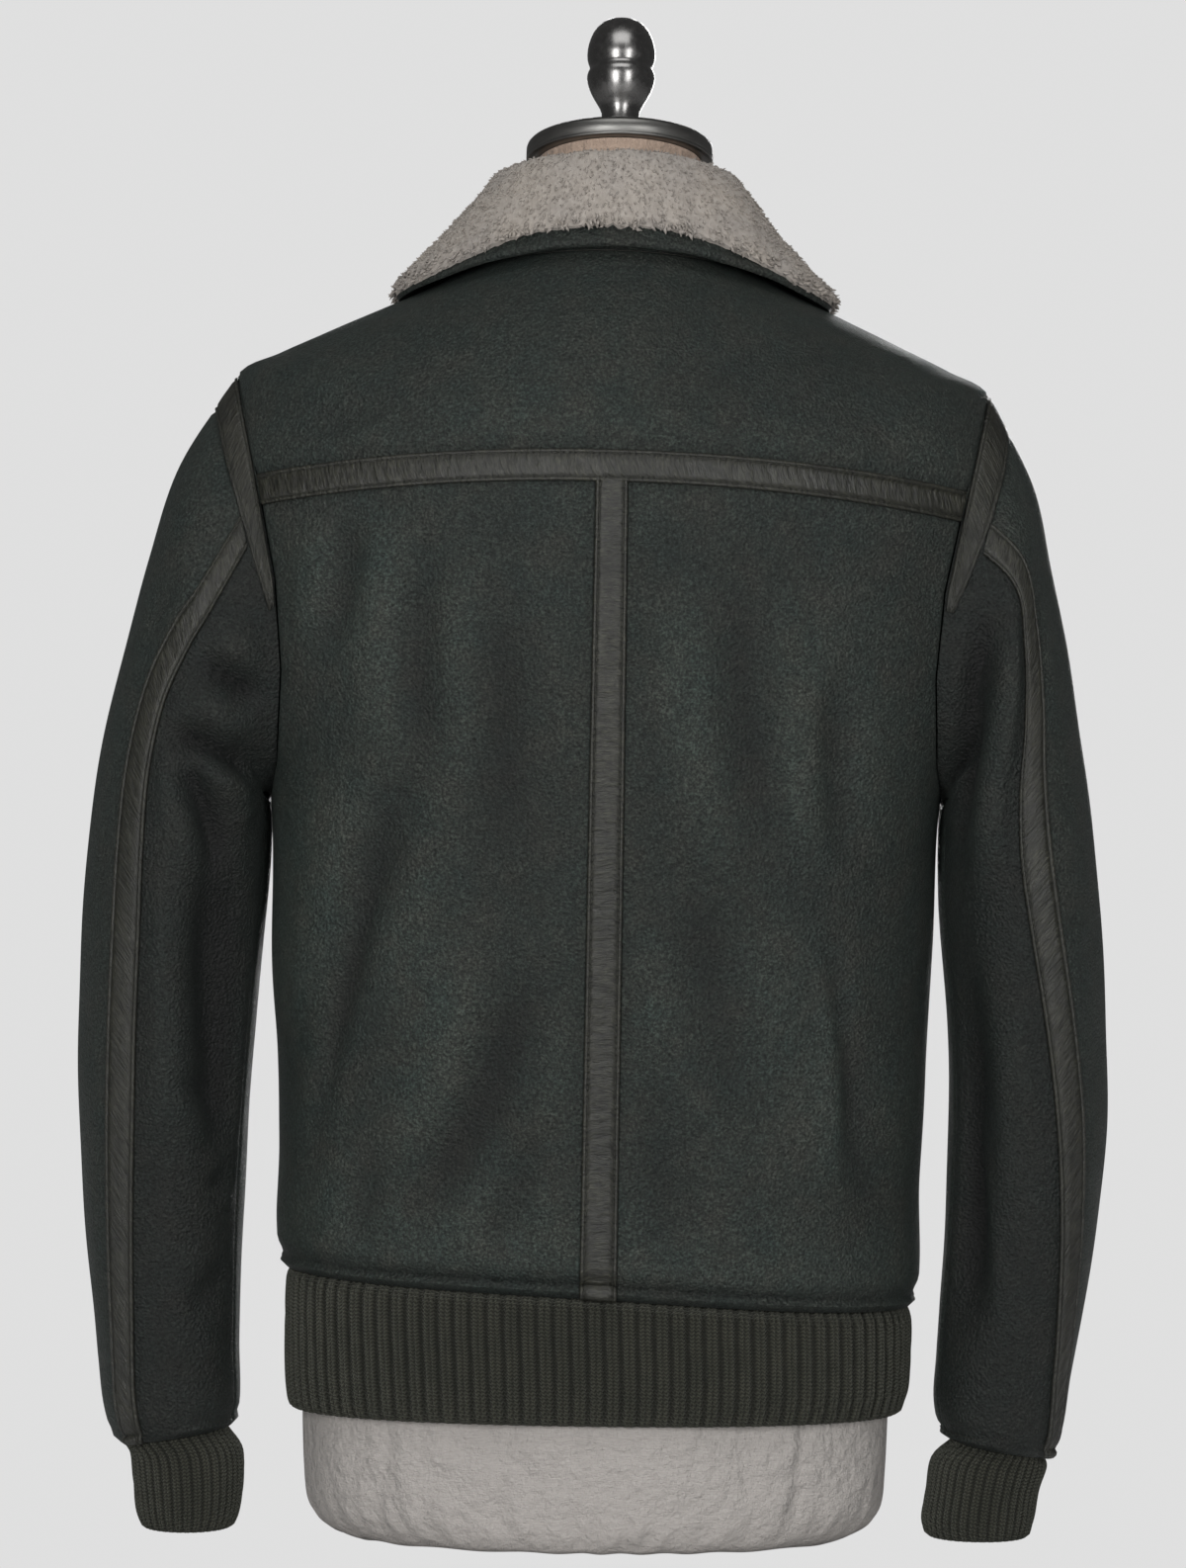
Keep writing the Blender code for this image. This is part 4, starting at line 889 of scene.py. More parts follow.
sleeve_pieces = {}
for side, _ in SIDES:
    sleeve_pieces[side] = {"under": make_sleeve_piece(side, "under", 0.0, 1.0),
                           "upper": make_sleeve_piece(side, "upper", 1.0, 2.0)}

# %% [markdown]
# ## Leather strips over the seams
# Each strip is a narrow band laid over a seam and sewn down along both edges.
# Its cross-section does the work: a rounded edge, a piped bead, the groove the
# stitches pull down, and a slightly crowned middle. Small, irregular wrinkles
# run across it.

# %% Strip builder
STRIP_LIFT = 0.0006      # clear of the hide below
STITCH_INSET = 0.0026    # from a strip's edge to its row of stitches
STRIP_STITCH = 0.0034    # from one stitch to the next
seams = []               # rows of stitches: points, outward directions, pitch


def strip_profile(edge):
    """Height across a strip, from the distance to its nearer edge."""
    bead = 0.00030 * hump(edge, 0.0014, 0.0008)
    groove = -0.00050 * hump(edge, STITCH_INSET, 0.0004)
    crown = 0.00030 * smooth(edge, 0.0027, 0.0050)
    return bead + groove + crown + rolled(edge, 0.0009, 0.0009)


def wrinkles(run, across, seed, depth=0.00034):
    """Irregular small folds across a strip."""
    drift = 2.2 * np.sin(70.0 * run + seed) + 1.3 * np.sin(31.0 * run + 2.0 * seed)
    waves = np.sin(760.0 * run + 160.0 * across + 3.0 * drift)
    second = np.sin(1190.0 * run - 240.0 * across + 4.1 * drift + seed)
    swell = 0.5 + 0.5 * np.sin(52.0 * run + 1.7 * seed)
    return depth * (0.7 * waves * swell + 0.4 * second * (1.3 - swell))


def make_strip(name, points, normals, seed, lift=0.0, stitched=(True, True)):
    """points is a grid: rows along the strip, columns across it."""
    rows, cols = points.shape[:2]
    first, last, top, low = from_edges(points)
    edge = np.minimum(first, last)
    run = top
    middle = smooth(edge, STITCH_INSET * 0.6, STITCH_INSET * 2.0)
    relief = STRIP_LIFT + lift + STRIP + strip_profile(edge)
    relief += wrinkles(run, first, seed) * (0.35 + 0.65 * middle)
    relief += rolled(np.minimum(top, low), 0.0009, 0.0008)
    outer = points + normals * relief[..., None]
    base = STRIP_LIFT + lift + np.zeros_like(relief)
    inner = points + normals * base[..., None]
    piece = shell(name, outer, inner)
    piece.data.materials.append(strip_leather)
    # Painted shade: the stitch grooves and the strip's rolled edge are marked for a darker colour.
    sunk = hump(edge, STITCH_INSET, 0.0004) + (1.0 - smooth(edge, 0.0, 0.0005))
    give(piece.data, "sunk", "FLOAT", np.concatenate([sunk.ravel(), np.zeros(rows * cols)]))
    half = np.arange(cols // 2)
    for side, picked in enumerate(stitched):
        if not picked:
            continue
        gap, order = (first, half) if side == 0 else (last, cols - 1 - half)
        place = np.array([np.interp(STITCH_INSET, row[order], half) for row in gap])
        near = np.minimum(place.astype(int), len(half) - 2)
        f = (place - near)[:, None]
        each = np.arange(rows)
        line = outer[each, order[near]] * (1 - f) + outer[each, order[near + 1]] * f
        seams.append((line, normals[each, order[near]], STRIP_STITCH))
    report(piece)
    return piece


EDGE_STEPS = np.array((0.0, 0.0004, 0.0009, 0.0014, 0.0019, 0.0023, 0.0026, 0.0029, 0.0034))


def strip_offsets(half):
    """Distances from a strip's middle, close together along its edges."""
    edge = half - EDGE_STEPS
    outer = np.concatenate([edge, np.linspace(edge[-1], 0.0, 5)[1:]])
    return np.concatenate([-outer, outer[-2::-1]])


def walked(surface, rows, offsets, guess=0.05):
    """Angles at set distances along each row from the surface's zero angle."""
    fine = np.linspace(-guess, guess, 61)
    result = []
    for t in rows:
        line = surface(fine, np.full(fine.shape, t))
        run = lengths(line)
        run = run - run[30]
        result.append(np.interp(offsets, run, fine))
    return np.array(result)


# %% Strips on the body
BODY_STRIP_ROWS = 270
BACK_STRIP_TOP = 6.80    # ring number just under the strip across the back


def make_back_strip():
    dense = np.linspace(0.0, BACK_STRIP_TOP, 400)
    rows = evenly(dense, coat_points(0.0, dense), BODY_STRIP_ROWS)
    taper = np.interp(rows, (0.0, BACK_STRIP_TOP),
                      (BACK_STRIP_HALF + 0.0006, BACK_STRIP_HALF - 0.0008))
    angles = np.stack([walked(coat_points, [t], strip_offsets(half), 0.2)[0]
                       for t, half in zip(rows, taper)])
    points = coat_points(angles, rows[:, None])
    normals = facing_out(points)
    d_low = lengths(np.swapaxes(points, 0, 1)).T
    points = points + normals * (welt(d_low) - rolled(d_low, 0.0030, 0.0030))[..., None]
    return make_strip("strip_back", points[::-1], normals[::-1], 1.0)


def make_yoke_strip():
    """Across the back: its rows run along the seam and its columns down it."""
    dense = np.linspace(6.0, 8.2, 60)
    reach = edge_angles(np.array([7.0]), False)[0]
    fraction = np.linspace(-1.0, 1.0, BODY_STRIP_ROWS)
    offsets = strip_offsets(YOKE_STRIP_HALF)
    lines = coat_points((fraction * reach)[:, None], dense[None, :])
    run = lengths(lines)
    seam = np.array([np.interp(7.0, dense, r) for r in run])
    t = np.stack([np.interp(place + offsets, r, dense) for place, r in zip(seam, run)])
    edge = edge_angles(t.ravel(), False).reshape(t.shape)
    gap = 0.0030 / 0.21
    angles = fraction[:, None] * (edge - gap)
    points = coat_points(angles, t)
    return make_strip("strip_yoke", points, facing_out(points), 2.0, 0.0004)


strip_back, strip_yoke = make_back_strip(), make_yoke_strip()

# %% Strips on the sleeves
def make_armhole_strip(side):
    """Over the shoulder and down both sides of the armhole, on the sleeve's edge."""
    sleeve = sleeves[side]
    fine = np.linspace(0.0, 2.0, 1500, endpoint=False)
    heights = sleeve.points(fine, 0.0)[:, 2]
    kept = heights > ARMHOLE_STRIP[0, 0]
    start = np.argmax(~kept & (np.abs(fine - 1.0) < 0.6))
    q = np.roll(fine, -start)
    q = q[np.roll(kept, -start)]
    q = np.where(q < q[0], q + 2.0, q)
    line = sleeve.points(q % 2.0, 0.0)
    q = evenly(q, line, int(lengths(line)[-1] / 0.0021)) % 2.0
    s = np.linspace(0.0, 1.6, 120)
    grid = sleeve.points(q[:, None], s[None, :])
    run = lengths(grid)
    width = armhole_strip_width(grid[:, 0, 2])
    half = 0.5 * (width - 0.0012)
    shares = strip_offsets(0.0065) / 0.0065
    want = 0.0012 + half[:, None] * (1.0 + shares)
    s_at = np.stack([np.interp(want[i], run[i], s) for i in range(len(q))])
    points = sleeve.points(q[:, None] + 0 * s_at, s_at)
    normals = grid_normals(points)
    hub = sleeve.points(np.linspace(0, 2, 24), 1.0).mean(axis=0)
    if np.einsum("ijk,ijk->", normals, points - hub) < 0:
        normals = -normals
    return make_strip(f"strip_armhole_{side}", points, normals, 3.0 + sleeve.sign, -PRESSED)


def make_sleeve_strip(side):
    """Down the back of a sleeve, over the seam between its two pieces."""
    sleeve = sleeves[side]
    dense = np.linspace(0.0, sleeve.last, 900)
    line = sleeve.points(0.0 * dense, dense)
    run = lengths(line)
    start = float(armhole_strip_width(line[0, 2])) + 0.0008
    s = np.interp(np.linspace(start, run[-1] - 0.0004, int(run[-1] / 0.0021)), run, dense)
    half = np.interp(s, (0.0, 8.0, 12.0), (SLEEVE_STRIP_HALF, SLEEVE_STRIP_HALF, 0.0078))
    fine = np.linspace(-0.35, 0.35, 81)
    q = []
    for place, reach in zip(s, half):
        across = lengths(sleeve.points(fine % 2.0, place))
        q.append(np.interp(across[40] + strip_offsets(reach), across, fine))
    q = np.array(q)
    points = sleeve.points(q % 2.0, s[:, None])
    normals = grid_normals(points)
    middle = sleeve.points(np.linspace(0, 2, 24)[None, :], s[:, None]).mean(axis=1)
    if np.einsum("ijk,ijk->", normals, points - middle[:, None]) < 0:
        normals = -normals
    d_end = from_edges(points)[3]
    points = points + normals * (sleeve_end(d_end) - rolled(d_end, 0.0030, 0.0030))[..., None]
    return make_strip(f"strip_sleeve_{side}", points, normals, 6.0 + sleeve.sign)


armhole_strips = {side: make_armhole_strip(side) for side, _ in SIDES}
sleeve_strips = {side: make_sleeve_strip(side) for side, _ in SIDES}
print(len(seams), "rows of stitches so far")

# %% [markdown]
# ## Rib knit
# The hem band and the cuffs are rib knit: two raised wales, then two sunk ones.
# A Geometry Nodes tree pushes a plain tube's outer face in and out by its
# distance round the tube, so one tree with two named sizes serves all three.
# The stitches themselves, small V shapes, are a bump in the material, with painted shade and
# highlights in its colour.

# %% Rib tree
# Two wales 3.3 mm apart in every 9.5 mm, as a sum of cosines.
WALES = ((1.0, 0.60), (2.0, -0.50), (3.0, -0.42))


def socket(tree, name, kind, default=None):
    item = tree.interface.new_socket(name, in_out="INPUT", socket_type=kind)
    if default is not None:
        item.default_value = default
    return item.identifier


def make_rib_tree():
    tree = bpy.data.node_groups.new("rib_knit", "GeometryNodeTree")
    socket(tree, "Geometry", "NodeSocketGeometry")
    ids = {name: socket(tree, name, "NodeSocketFloat", value)
           for name, value in (("Rib width", 0.0095), ("Rib height", 0.0011))}
    tree.interface.new_socket("Geometry", in_out="OUTPUT", socket_type="NodeSocketGeometry")
    nodes, links = tree.nodes, tree.links
    source, end = nodes.new("NodeGroupInput"), nodes.new("NodeGroupOutput")

    def maths_of(operation, a, b=None, c=None):
        n = nodes.new("ShaderNodeMath")
        n.operation = operation
        for index, value in enumerate((a, b, c)):
            if isinstance(value, (int, float)):
                n.inputs[index].default_value = value
            elif value is not None:
                links.new(value, n.inputs[index])
        return n.outputs[0]

    def attribute(name, kind):
        n = nodes.new("GeometryNodeInputNamedAttribute")
        n.data_type = kind
        n.inputs["Name"].default_value = name
        return n.outputs["Attribute"]

    turn = maths_of("MULTIPLY", maths_of("DIVIDE", attribute("round", "FLOAT"),
                                         source.outputs["Rib width"]), 2.0 * math.pi)
    wave = 0.0
    for turns_of, share in WALES:
        part = maths_of("COSINE", maths_of("MULTIPLY", turn, turns_of))
        wave = maths_of("MULTIPLY_ADD", part, share, wave)
    height = maths_of("MULTIPLY", maths_of("MULTIPLY", wave, source.outputs["Rib height"]),
                      attribute("depth", "FLOAT"))
    scaled = nodes.new("ShaderNodeVectorMath")
    scaled.operation = "SCALE"
    links.new(attribute("out", "FLOAT_VECTOR"), scaled.inputs[0])
    links.new(height, scaled.inputs["Scale"])
    move = nodes.new("GeometryNodeSetPosition")
    links.new(source.outputs["Geometry"], move.inputs["Geometry"])
    links.new(scaled.outputs[0], move.inputs["Offset"])
    links.new(move.outputs["Geometry"], end.inputs["Geometry"])
    return tree, ids


rib_tree, RIB_INPUTS = make_rib_tree()


def applied(piece, tree, values):
    """The piece's mesh after a node tree, with the modifier gone."""
    grown = piece.modifiers.new("grown", "NODES")
    grown.node_group = tree
    for key, value in values.items():
        grown[key] = value
    bpy.context.view_layer.update()
    graph = bpy.context.evaluated_depsgraph_get()
    done = bpy.data.meshes.new_from_object(piece.evaluated_get(graph))
    piece.modifiers.remove(grown)
    name, old = piece.data.name, piece.data
    piece.data = done
    bpy.data.meshes.remove(old)
    done.name = name
    return piece


def make_knit():
    """Rib knit: rows of small V stitches, with a little fuzz."""
    made, node, to_shader = new_material(
        "rib_knit", Roughness=0.92, Specular_IOR_Level=0.12, Sheen_Weight=0.22,
        Sheen_Roughness=0.5, Sheen_Tint=(0.70, 0.72, 0.62, 1.0))
    coords = node("ShaderNodeTexCoord")
    split = node("ShaderNodeSeparateXYZ", Vector=coords.outputs["UV"])
    round_, along = split.outputs["X"], split.outputs["Y"]
    wale = maths(node, "PINGPONG", maths(node, "DIVIDE", round_, 0.0024), 0.5)
    course = maths(node, "ADD", maths(node, "DIVIDE", along, 0.0021), wale)
    loop = maths(node, "PINGPONG", course, 0.5)
    fuzz = noise(node, coords.outputs["Object"], 2600.0, 2.0)
    shape = maths(node, "ADD", maths(node, "MULTIPLY", loop, 1.2),
                  maths(node, "MULTIPLY", fuzz, 0.5))
    clouds = noise(node, coords.outputs["Object"], 60.0, 3.0)
    tone = ramp(node, clouds, (0.3, (0.021, 0.022, 0.017)), (0.7, (0.030, 0.030, 0.023)))
    # Painted highlights on the raised wales and painted shade in the sunk ones and between the
    # stitch loops.
    height = node("ShaderNodeAttribute", {"attribute_name": "wale"}).outputs["Fac"]
    wear_and_rib_shade = ramp(node, height, (0.25, 0.42), (0.85, 1.45))
    shade = ramp(node, loop, (0.05, 0.40), (0.45, 1.55))
    to_shader("Base Color", blended(node, 1.0, blended(node, 1.0, tone, wear_and_rib_shade, "MULTIPLY"),
                                    shade, "MULTIPLY"))
    to_shader("Normal", bump(node, shape, 1.0, 0.0012))
    return made


knit = make_knit()


def make_rib(name, rows, rib_width, rib_height, closed, outward, seed):
    """A knitted tube or band through control rows, from its top to its edge."""
    rows = np.array(rows)
    t = np.linspace(0.0, len(rows) - 1.0, 400)
    flat = table_rows(rows.reshape(len(rows), -1), t).reshape(400, *rows.shape[1:])
    along = lengths(np.swapaxes(flat, 0, 1)).mean(axis=0)
    count = int(along[-1] / 0.0024) + 1
    picked = np.interp(np.linspace(0, along[-1], count), along, t)
    grid = table_rows(rows.reshape(len(rows), -1), picked).reshape(count, *rows.shape[1:])
    normals = grid_normals(grid, closed)
    if np.einsum("ijk,ijk->", normals, outward(grid)) < 0:
        normals = -normals
    # The band's free edge is knit folded double, so it's rounded.
    run = lengths(np.swapaxes(grid, 0, 1)).T
    d_edge = run[-1:] - run
    around = lengths(grid[count // 2])
    if closed:
        around_total = around[-1] + np.linalg.norm(grid[count // 2, -1] - grid[count // 2, 0])
        ribs = round(around_total / rib_width)
        around = around * (ribs * rib_width / around_total)
    wander = 0.0007 * np.sin(run * 60.0 + seed) + 0.0004 * np.sin(run * 23.0 + 2 * seed)
    slow = 0.0009 * np.sin(around * 17.0 + seed)[None, :] * np.sin(run * 30.0 + seed)
    outer = grid + normals * (rolled(d_edge, 0.0022, 0.0013) + slow)[..., None]
    inner = grid - normals * (KNIT - 0.2 * rolled(d_edge, 0.0022, 0.0013))[..., None]
    piece = shell(name, outer, inner, closed)
    mesh = piece.data
    size = grid.shape[0] * grid.shape[1]
    zero = np.zeros(size)
    place = (around[None, :] + wander).ravel()
    fade = (0.35 + 0.65 * smooth(d_edge, 0.0, 0.0030)).ravel()
    give(mesh, "round", "FLOAT", np.concatenate([place, zero]))
    give(mesh, "depth", "FLOAT", np.concatenate([fade, zero]))
    give(mesh, "out", "FLOAT_VECTOR", np.concatenate([normals.reshape(-1, 3),
                                                      np.zeros((size, 3))]))
    turn = 2 * math.pi * place / rib_width
    wave = 0.5 + 0.5 * sum(share * np.cos(count * turn) for count, share in WALES)
    give(mesh, "wale", "FLOAT", np.concatenate([wave, 0.3 + zero]))
    applied(piece, rib_tree, {RIB_INPUTS["Rib width"]: rib_width,
                              RIB_INPUTS["Rib height"]: rib_height})
    piece.data.materials.clear()
    piece.data.materials.append(knit)
    report(piece)
    return piece


# %% Hem band and cuffs
HEM_RIB = np.array((
    # z_back z_side z_front half_w  back   front  power
    (0.1390, 0.1510, 0.1420, 0.1816, 0.1225, 0.1185, 2.40),
    (0.1050, 0.1050, 0.1050, 0.1812, 0.1210, 0.1175, 2.40),
    (0.0820, 0.0820, 0.0820, 0.1790, 0.1185, 0.1150, 2.40),
    (0.0743, 0.0743, 0.0743, 0.1765, 0.1160, 0.1125, 2.40),
))
CUFF = {
    "left": np.array((
        # x_out  z_out   x_in    z_in    y_mid    half_d  power
        (0.2692, 0.0460, 0.2062, 0.0490, -0.0100, 0.0405, 2.1),
        (0.2675, 0.0300, 0.2054, 0.0300, -0.0100, 0.0400, 2.1),
        (0.2656, 0.0130, 0.2074, 0.0130, -0.0100, 0.0385, 2.1),
        (0.2622, 0.0035, 0.2112, 0.0035, -0.0100, 0.0360, 2.1),
    )),
    "right": np.array((
        (0.2628, 0.0440, 0.1975, 0.0480, -0.0100, 0.0405, 2.1),
        (0.2585, 0.0300, 0.1948, 0.0300, -0.0100, 0.0400, 2.1),
        (0.2560, 0.0130, 0.1925, 0.0130, -0.0100, 0.0385, 2.1),
        (0.2530, 0.0030, 0.1950, 0.0030, -0.0100, 0.0360, 2.1),
    )),
}
HEM_RIB_WIDTH, CUFF_RIB_WIDTH = 0.0095, 0.0058
HEM_RIB_HEIGHT, CUFF_RIB_HEIGHT = 0.0014, 0.0008


def spaced_angles(curve, start, end, count):
    fine = np.linspace(start, end, 2400)
    return evenly(fine, curve(fine), count)


def make_hem_rib():
    count = 780
    limit = offset_angles(np.array([0.0]), ZIP_HALF, True)[0]
    middle = HEM_RIB[1]
    angles = spaced_angles(lambda u: ring_points(np.tile(middle, (len(u), 1)), u),
                           -limit, limit, count)
    rows = []
    for t in (TUCK / 0.088, 0.0):
        points = coat_points(angles, np.full(count, t))
        above = coat_points(angles, np.full(count, t + 0.02))
        beside = coat_points(angles + 0.004, np.full(count, t))
        n = np.cross(beside - points, above - points)
        n = n / np.linalg.norm(n, axis=-1, keepdims=True)
        n = n if n[count // 2, 1] < 0 else -n
        rows.append(points - n * (KNIT_BEHIND))
    rows += [ring_points(np.tile(row, (count, 1)), angles) for row in HEM_RIB]
    centre = np.array((STAND[0], STAND[1], 0.1))
    return make_rib("hem_rib", rows, HEM_RIB_WIDTH, HEM_RIB_HEIGHT, False,
                    lambda grid: (grid - centre) * np.array((1, 1, 0)), 1.0)


def make_cuff(side, sign):
    count = 270
    ring = SLEEVE[side][-1]
    degrees = np.linspace(0.0, 360.0, count, endpoint=False)
    end = sleeve_ring(ring, degrees, sign)
    before = sleeve_ring(SLEEVE[side][-2], degrees, sign)
    axis_point = end.mean(axis=0)
    inwards = axis_point - end
    inwards /= np.linalg.norm(inwards, axis=-1, keepdims=True)
    up = (before - end) / np.linalg.norm(before - end, axis=-1, keepdims=True)
    clear = KNIT_BEHIND
    rows = [end + up * TUCK + inwards * clear, end + inwards * clear]
    for row in CUFF[side]:
        rows.append(sleeve_ring(np.append(row, 0.0), degrees, sign))
    return make_rib(f"cuff_{side}", rows, CUFF_RIB_WIDTH, CUFF_RIB_HEIGHT, True,
                    lambda grid: (grid - axis_point) * np.array((1, 1, 0)), 2.0 + sign)


hem_rib = make_hem_rib()
cuffs = {side: make_cuff(side, sign) for side, sign in SIDES}

# %% [markdown]
# ## Collar
# The collar's hide is folded over with its wool outwards. The wool is a base
# skin with thousands of small curled tufts scattered on it by Geometry Nodes.
# The tufts grow along the pile's lie, down the fall of the collar, and a row of
# them hangs past the cut edge as a ragged fringe.

# %% Collar surfaces
COLLAR = np.array((
    # z_back z_side z_front half_w  back   front  power pile
    (0.7447, 0.7377, 0.6687, 0.0828, 0.0727, 0.0877, 2.0, 0.0030),
    (0.7680, 0.7600, 0.6900, 0.0720, 0.0650, 0.0800, 2.0, 0.0035),
    (0.7910, 0.7825, 0.7110, 0.0612, 0.0588, 0.0745, 2.0, 0.0045),
    (0.7975, 0.7892, 0.7170, 0.0648, 0.0618, 0.0780, 2.0, 0.0070),
    (0.7930, 0.7845, 0.7125, 0.0685, 0.0655, 0.0835, 2.0, 0.0085),
    (0.7730, 0.7600, 0.6840, 0.0878, 0.0740, 0.1010, 2.0, 0.0085),
    (0.7570, 0.7330, 0.6450, 0.1135, 0.0812, 0.1230, 2.0, 0.0075),
    (0.7465, 0.7195, 0.6280, 0.1275, 0.0855, 0.1330, 2.0, 0.0000),
))
WOOL_END = 6.0           # row of the collar where the wool stops at the back
WOOL_TIPS = 0.93         # and how many rows further it reaches at the tips
COLLAR_SEAM = 0.0110     # the seam at the middle of the collar's band, in X


def collar_grid(t, columns, tips=0.0):
    limit = offset_angles(np.array([float(NECK)]), ZIP_HALF, True)[0]
    fine = np.linspace(-limit, limit, 900)
    grid = []
    for place in t:
        row = table_rows(COLLAR, place)
        line = ring_points(np.tile(row, (len(fine), 1)), fine)
        angles = evenly(fine, line, columns)
        ragged = (np.sin(83.0 * angles) + 0.8 * np.sin(137.0 * angles + 1.0)
                  + 0.7 * np.sin(211.0 * angles))
        shares = np.clip(place - 5.0, 0.0, 1.0) * (tips * smooth(np.abs(angles), 0.30, 1.15))
        if tips:
            shares = shares + 0.055 * ragged * smooth(place, 5.6, 6.0)
        grid.append(ring_points(table_rows(COLLAR, place + shares), angles))
    grid = np.array(grid)
    normals = grid_normals(grid)
    middle = normals[np.argmin(np.abs(t - 5.0)), columns // 2]
    return grid, normals * (1.0 if np.dot(middle, (0.0, -1.0, 0.3)) > 0 else -1.0)


def make_collar_hide():
    t = np.concatenate([np.linspace(0.0, 5.4, 24), np.linspace(5.45, 7.0, 26)])
    grid, normals = collar_grid(t, 220)
    x = grid[..., 0]
    edge = from_edges(grid)[3]
    band = smooth(t, WOOL_END - 0.4, WOOL_END)[:, None]
    sag = 0.0006 * np.sin(90.0 * x) * np.sin(60.0 * x + 1.0) * band
    seam = -0.0012 * hump(x, COLLAR_SEAM, 0.0011) * smooth(-grid[..., 1], 0.0, 0.04) * band
    relief = sag + seam + rolled(edge, 0.0016, 0.0012) + 0.0008 * hump(edge, 0.0030, 0.0026) * band
    outer = grid + normals * relief[..., None]
    inner = grid + normals * (relief - COLLAR_HIDE)[..., None]
    piece = shell("collar_hide", outer, inner)
    piece.data.materials.append(hide)
    report(piece)
    return piece


def make_wool():
    t = np.concatenate([np.linspace(0.05, 4.9, 22), np.linspace(5.0, WOOL_END, 18)])
    grid, normals = collar_grid(t, 230, WOOL_TIPS)
    x = grid[..., 0] + 0.6 * grid[..., 1]
    z = grid[..., 2]
    clumps = (np.sin(190.0 * x + 2.0 * np.sin(80.0 * z))
              * np.sin(120.0 * z + 3.0 * np.sin(60.0 * x)))
    folds = 0.0011 * hump(np.abs(x - STAND[0]), 0.045, 0.008) + 0.0009 * np.sin(55.0 * x)
    reach = np.interp(t, np.arange(8), COLLAR[:, 7])
    depth = reach[:, None] * 0.80 + 0.0005 * clumps + folds * smooth(
        t, 4.0, 5.5)[:, None]
    first, last, _, _ = from_edges(grid)
    side = smooth(np.minimum(first, last), 0.0, 0.004)
    end = smooth(WOOL_END - t, 0.0, 0.30)[:, None]
    depth = np.maximum(depth * side * (0.50 + 0.50 * end), 0.0012)
    outer = grid + normals * depth[..., None]
    inner = grid + normals * (1.5 * GAP)
    piece = shell("collar_wool", outer, inner)
    mesh = piece.data
    size = grid.shape[0] * grid.shape[1]
    lie = np.gradient(grid, axis=0)
    lie /= np.linalg.norm(lie, axis=-1, keepdims=True)
    zero = np.zeros(size)
    give(mesh, "lie", "FLOAT_VECTOR", np.concatenate([lie.reshape(-1, 3), np.zeros((size, 3))]))
    give(mesh, "out", "FLOAT_VECTOR", np.concatenate([normals.reshape(-1, 3), np.zeros((size, 3))]))
    shown = smooth(t, 0.8, 1.6)[:, None] * np.ones(grid.shape[1])
    give(mesh, "shown", "FLOAT", np.concatenate([shown.ravel(), zero]))
    fringe = smooth(t, WOOL_END - 0.42, WOOL_END - 0.1)[:, None] * np.ones(grid.shape[1])
    give(mesh, "fringe", "FLOAT", np.concatenate([fringe.ravel(), zero]))
    report(piece)
    return piece


# %% Tufts
def make_tuft(name, bends, radius):
    """A tapering curl of wool along +Z, a millimetre-sized blade with three sides."""
    points, faces = [], []
    for level, (x, y, z, thick) in enumerate(bends):
        for k in range(3):
            a = 2 * math.pi * k / 3 + 0.5 * level
            points.append((x + radius * thick * math.cos(a), y + radius * thick * math.sin(a), z))
    for level in range(len(bends) - 1):
        for k in range(3):
            a, b = 3 * level + k, 3 * level + (k + 1) % 3
            faces.append((a, b, b + 3, a + 3))
    faces += [(2, 1, 0), tuple(range(len(points) - 3, len(points)))]
    mesh = bpy.data.meshes.new(name)
    mesh.from_pydata(points, [], faces)
    mesh.polygons.foreach_set("use_smooth", [True] * len(faces))
    return bpy.data.objects.new(name, mesh)


TUFT_SHAPES = (
    ("tuft_hook", ((0, 0, -0.8, 0.9), (0.35, 0.1, 0.9, 1.0), (1.2, 0.3, 1.7, 0.12))),
    ("tuft_wave", ((0, 0, -0.8, 0.9), (-0.25, 0.4, 1.0, 0.95), (0.5, 0.0, 2.2, 0.10))),
    ("tuft_curl", ((0, 0, -0.8, 1.0), (0.45, -0.35, 0.7, 1.0), (0.8, 0.6, 1.3, 0.15))),
)


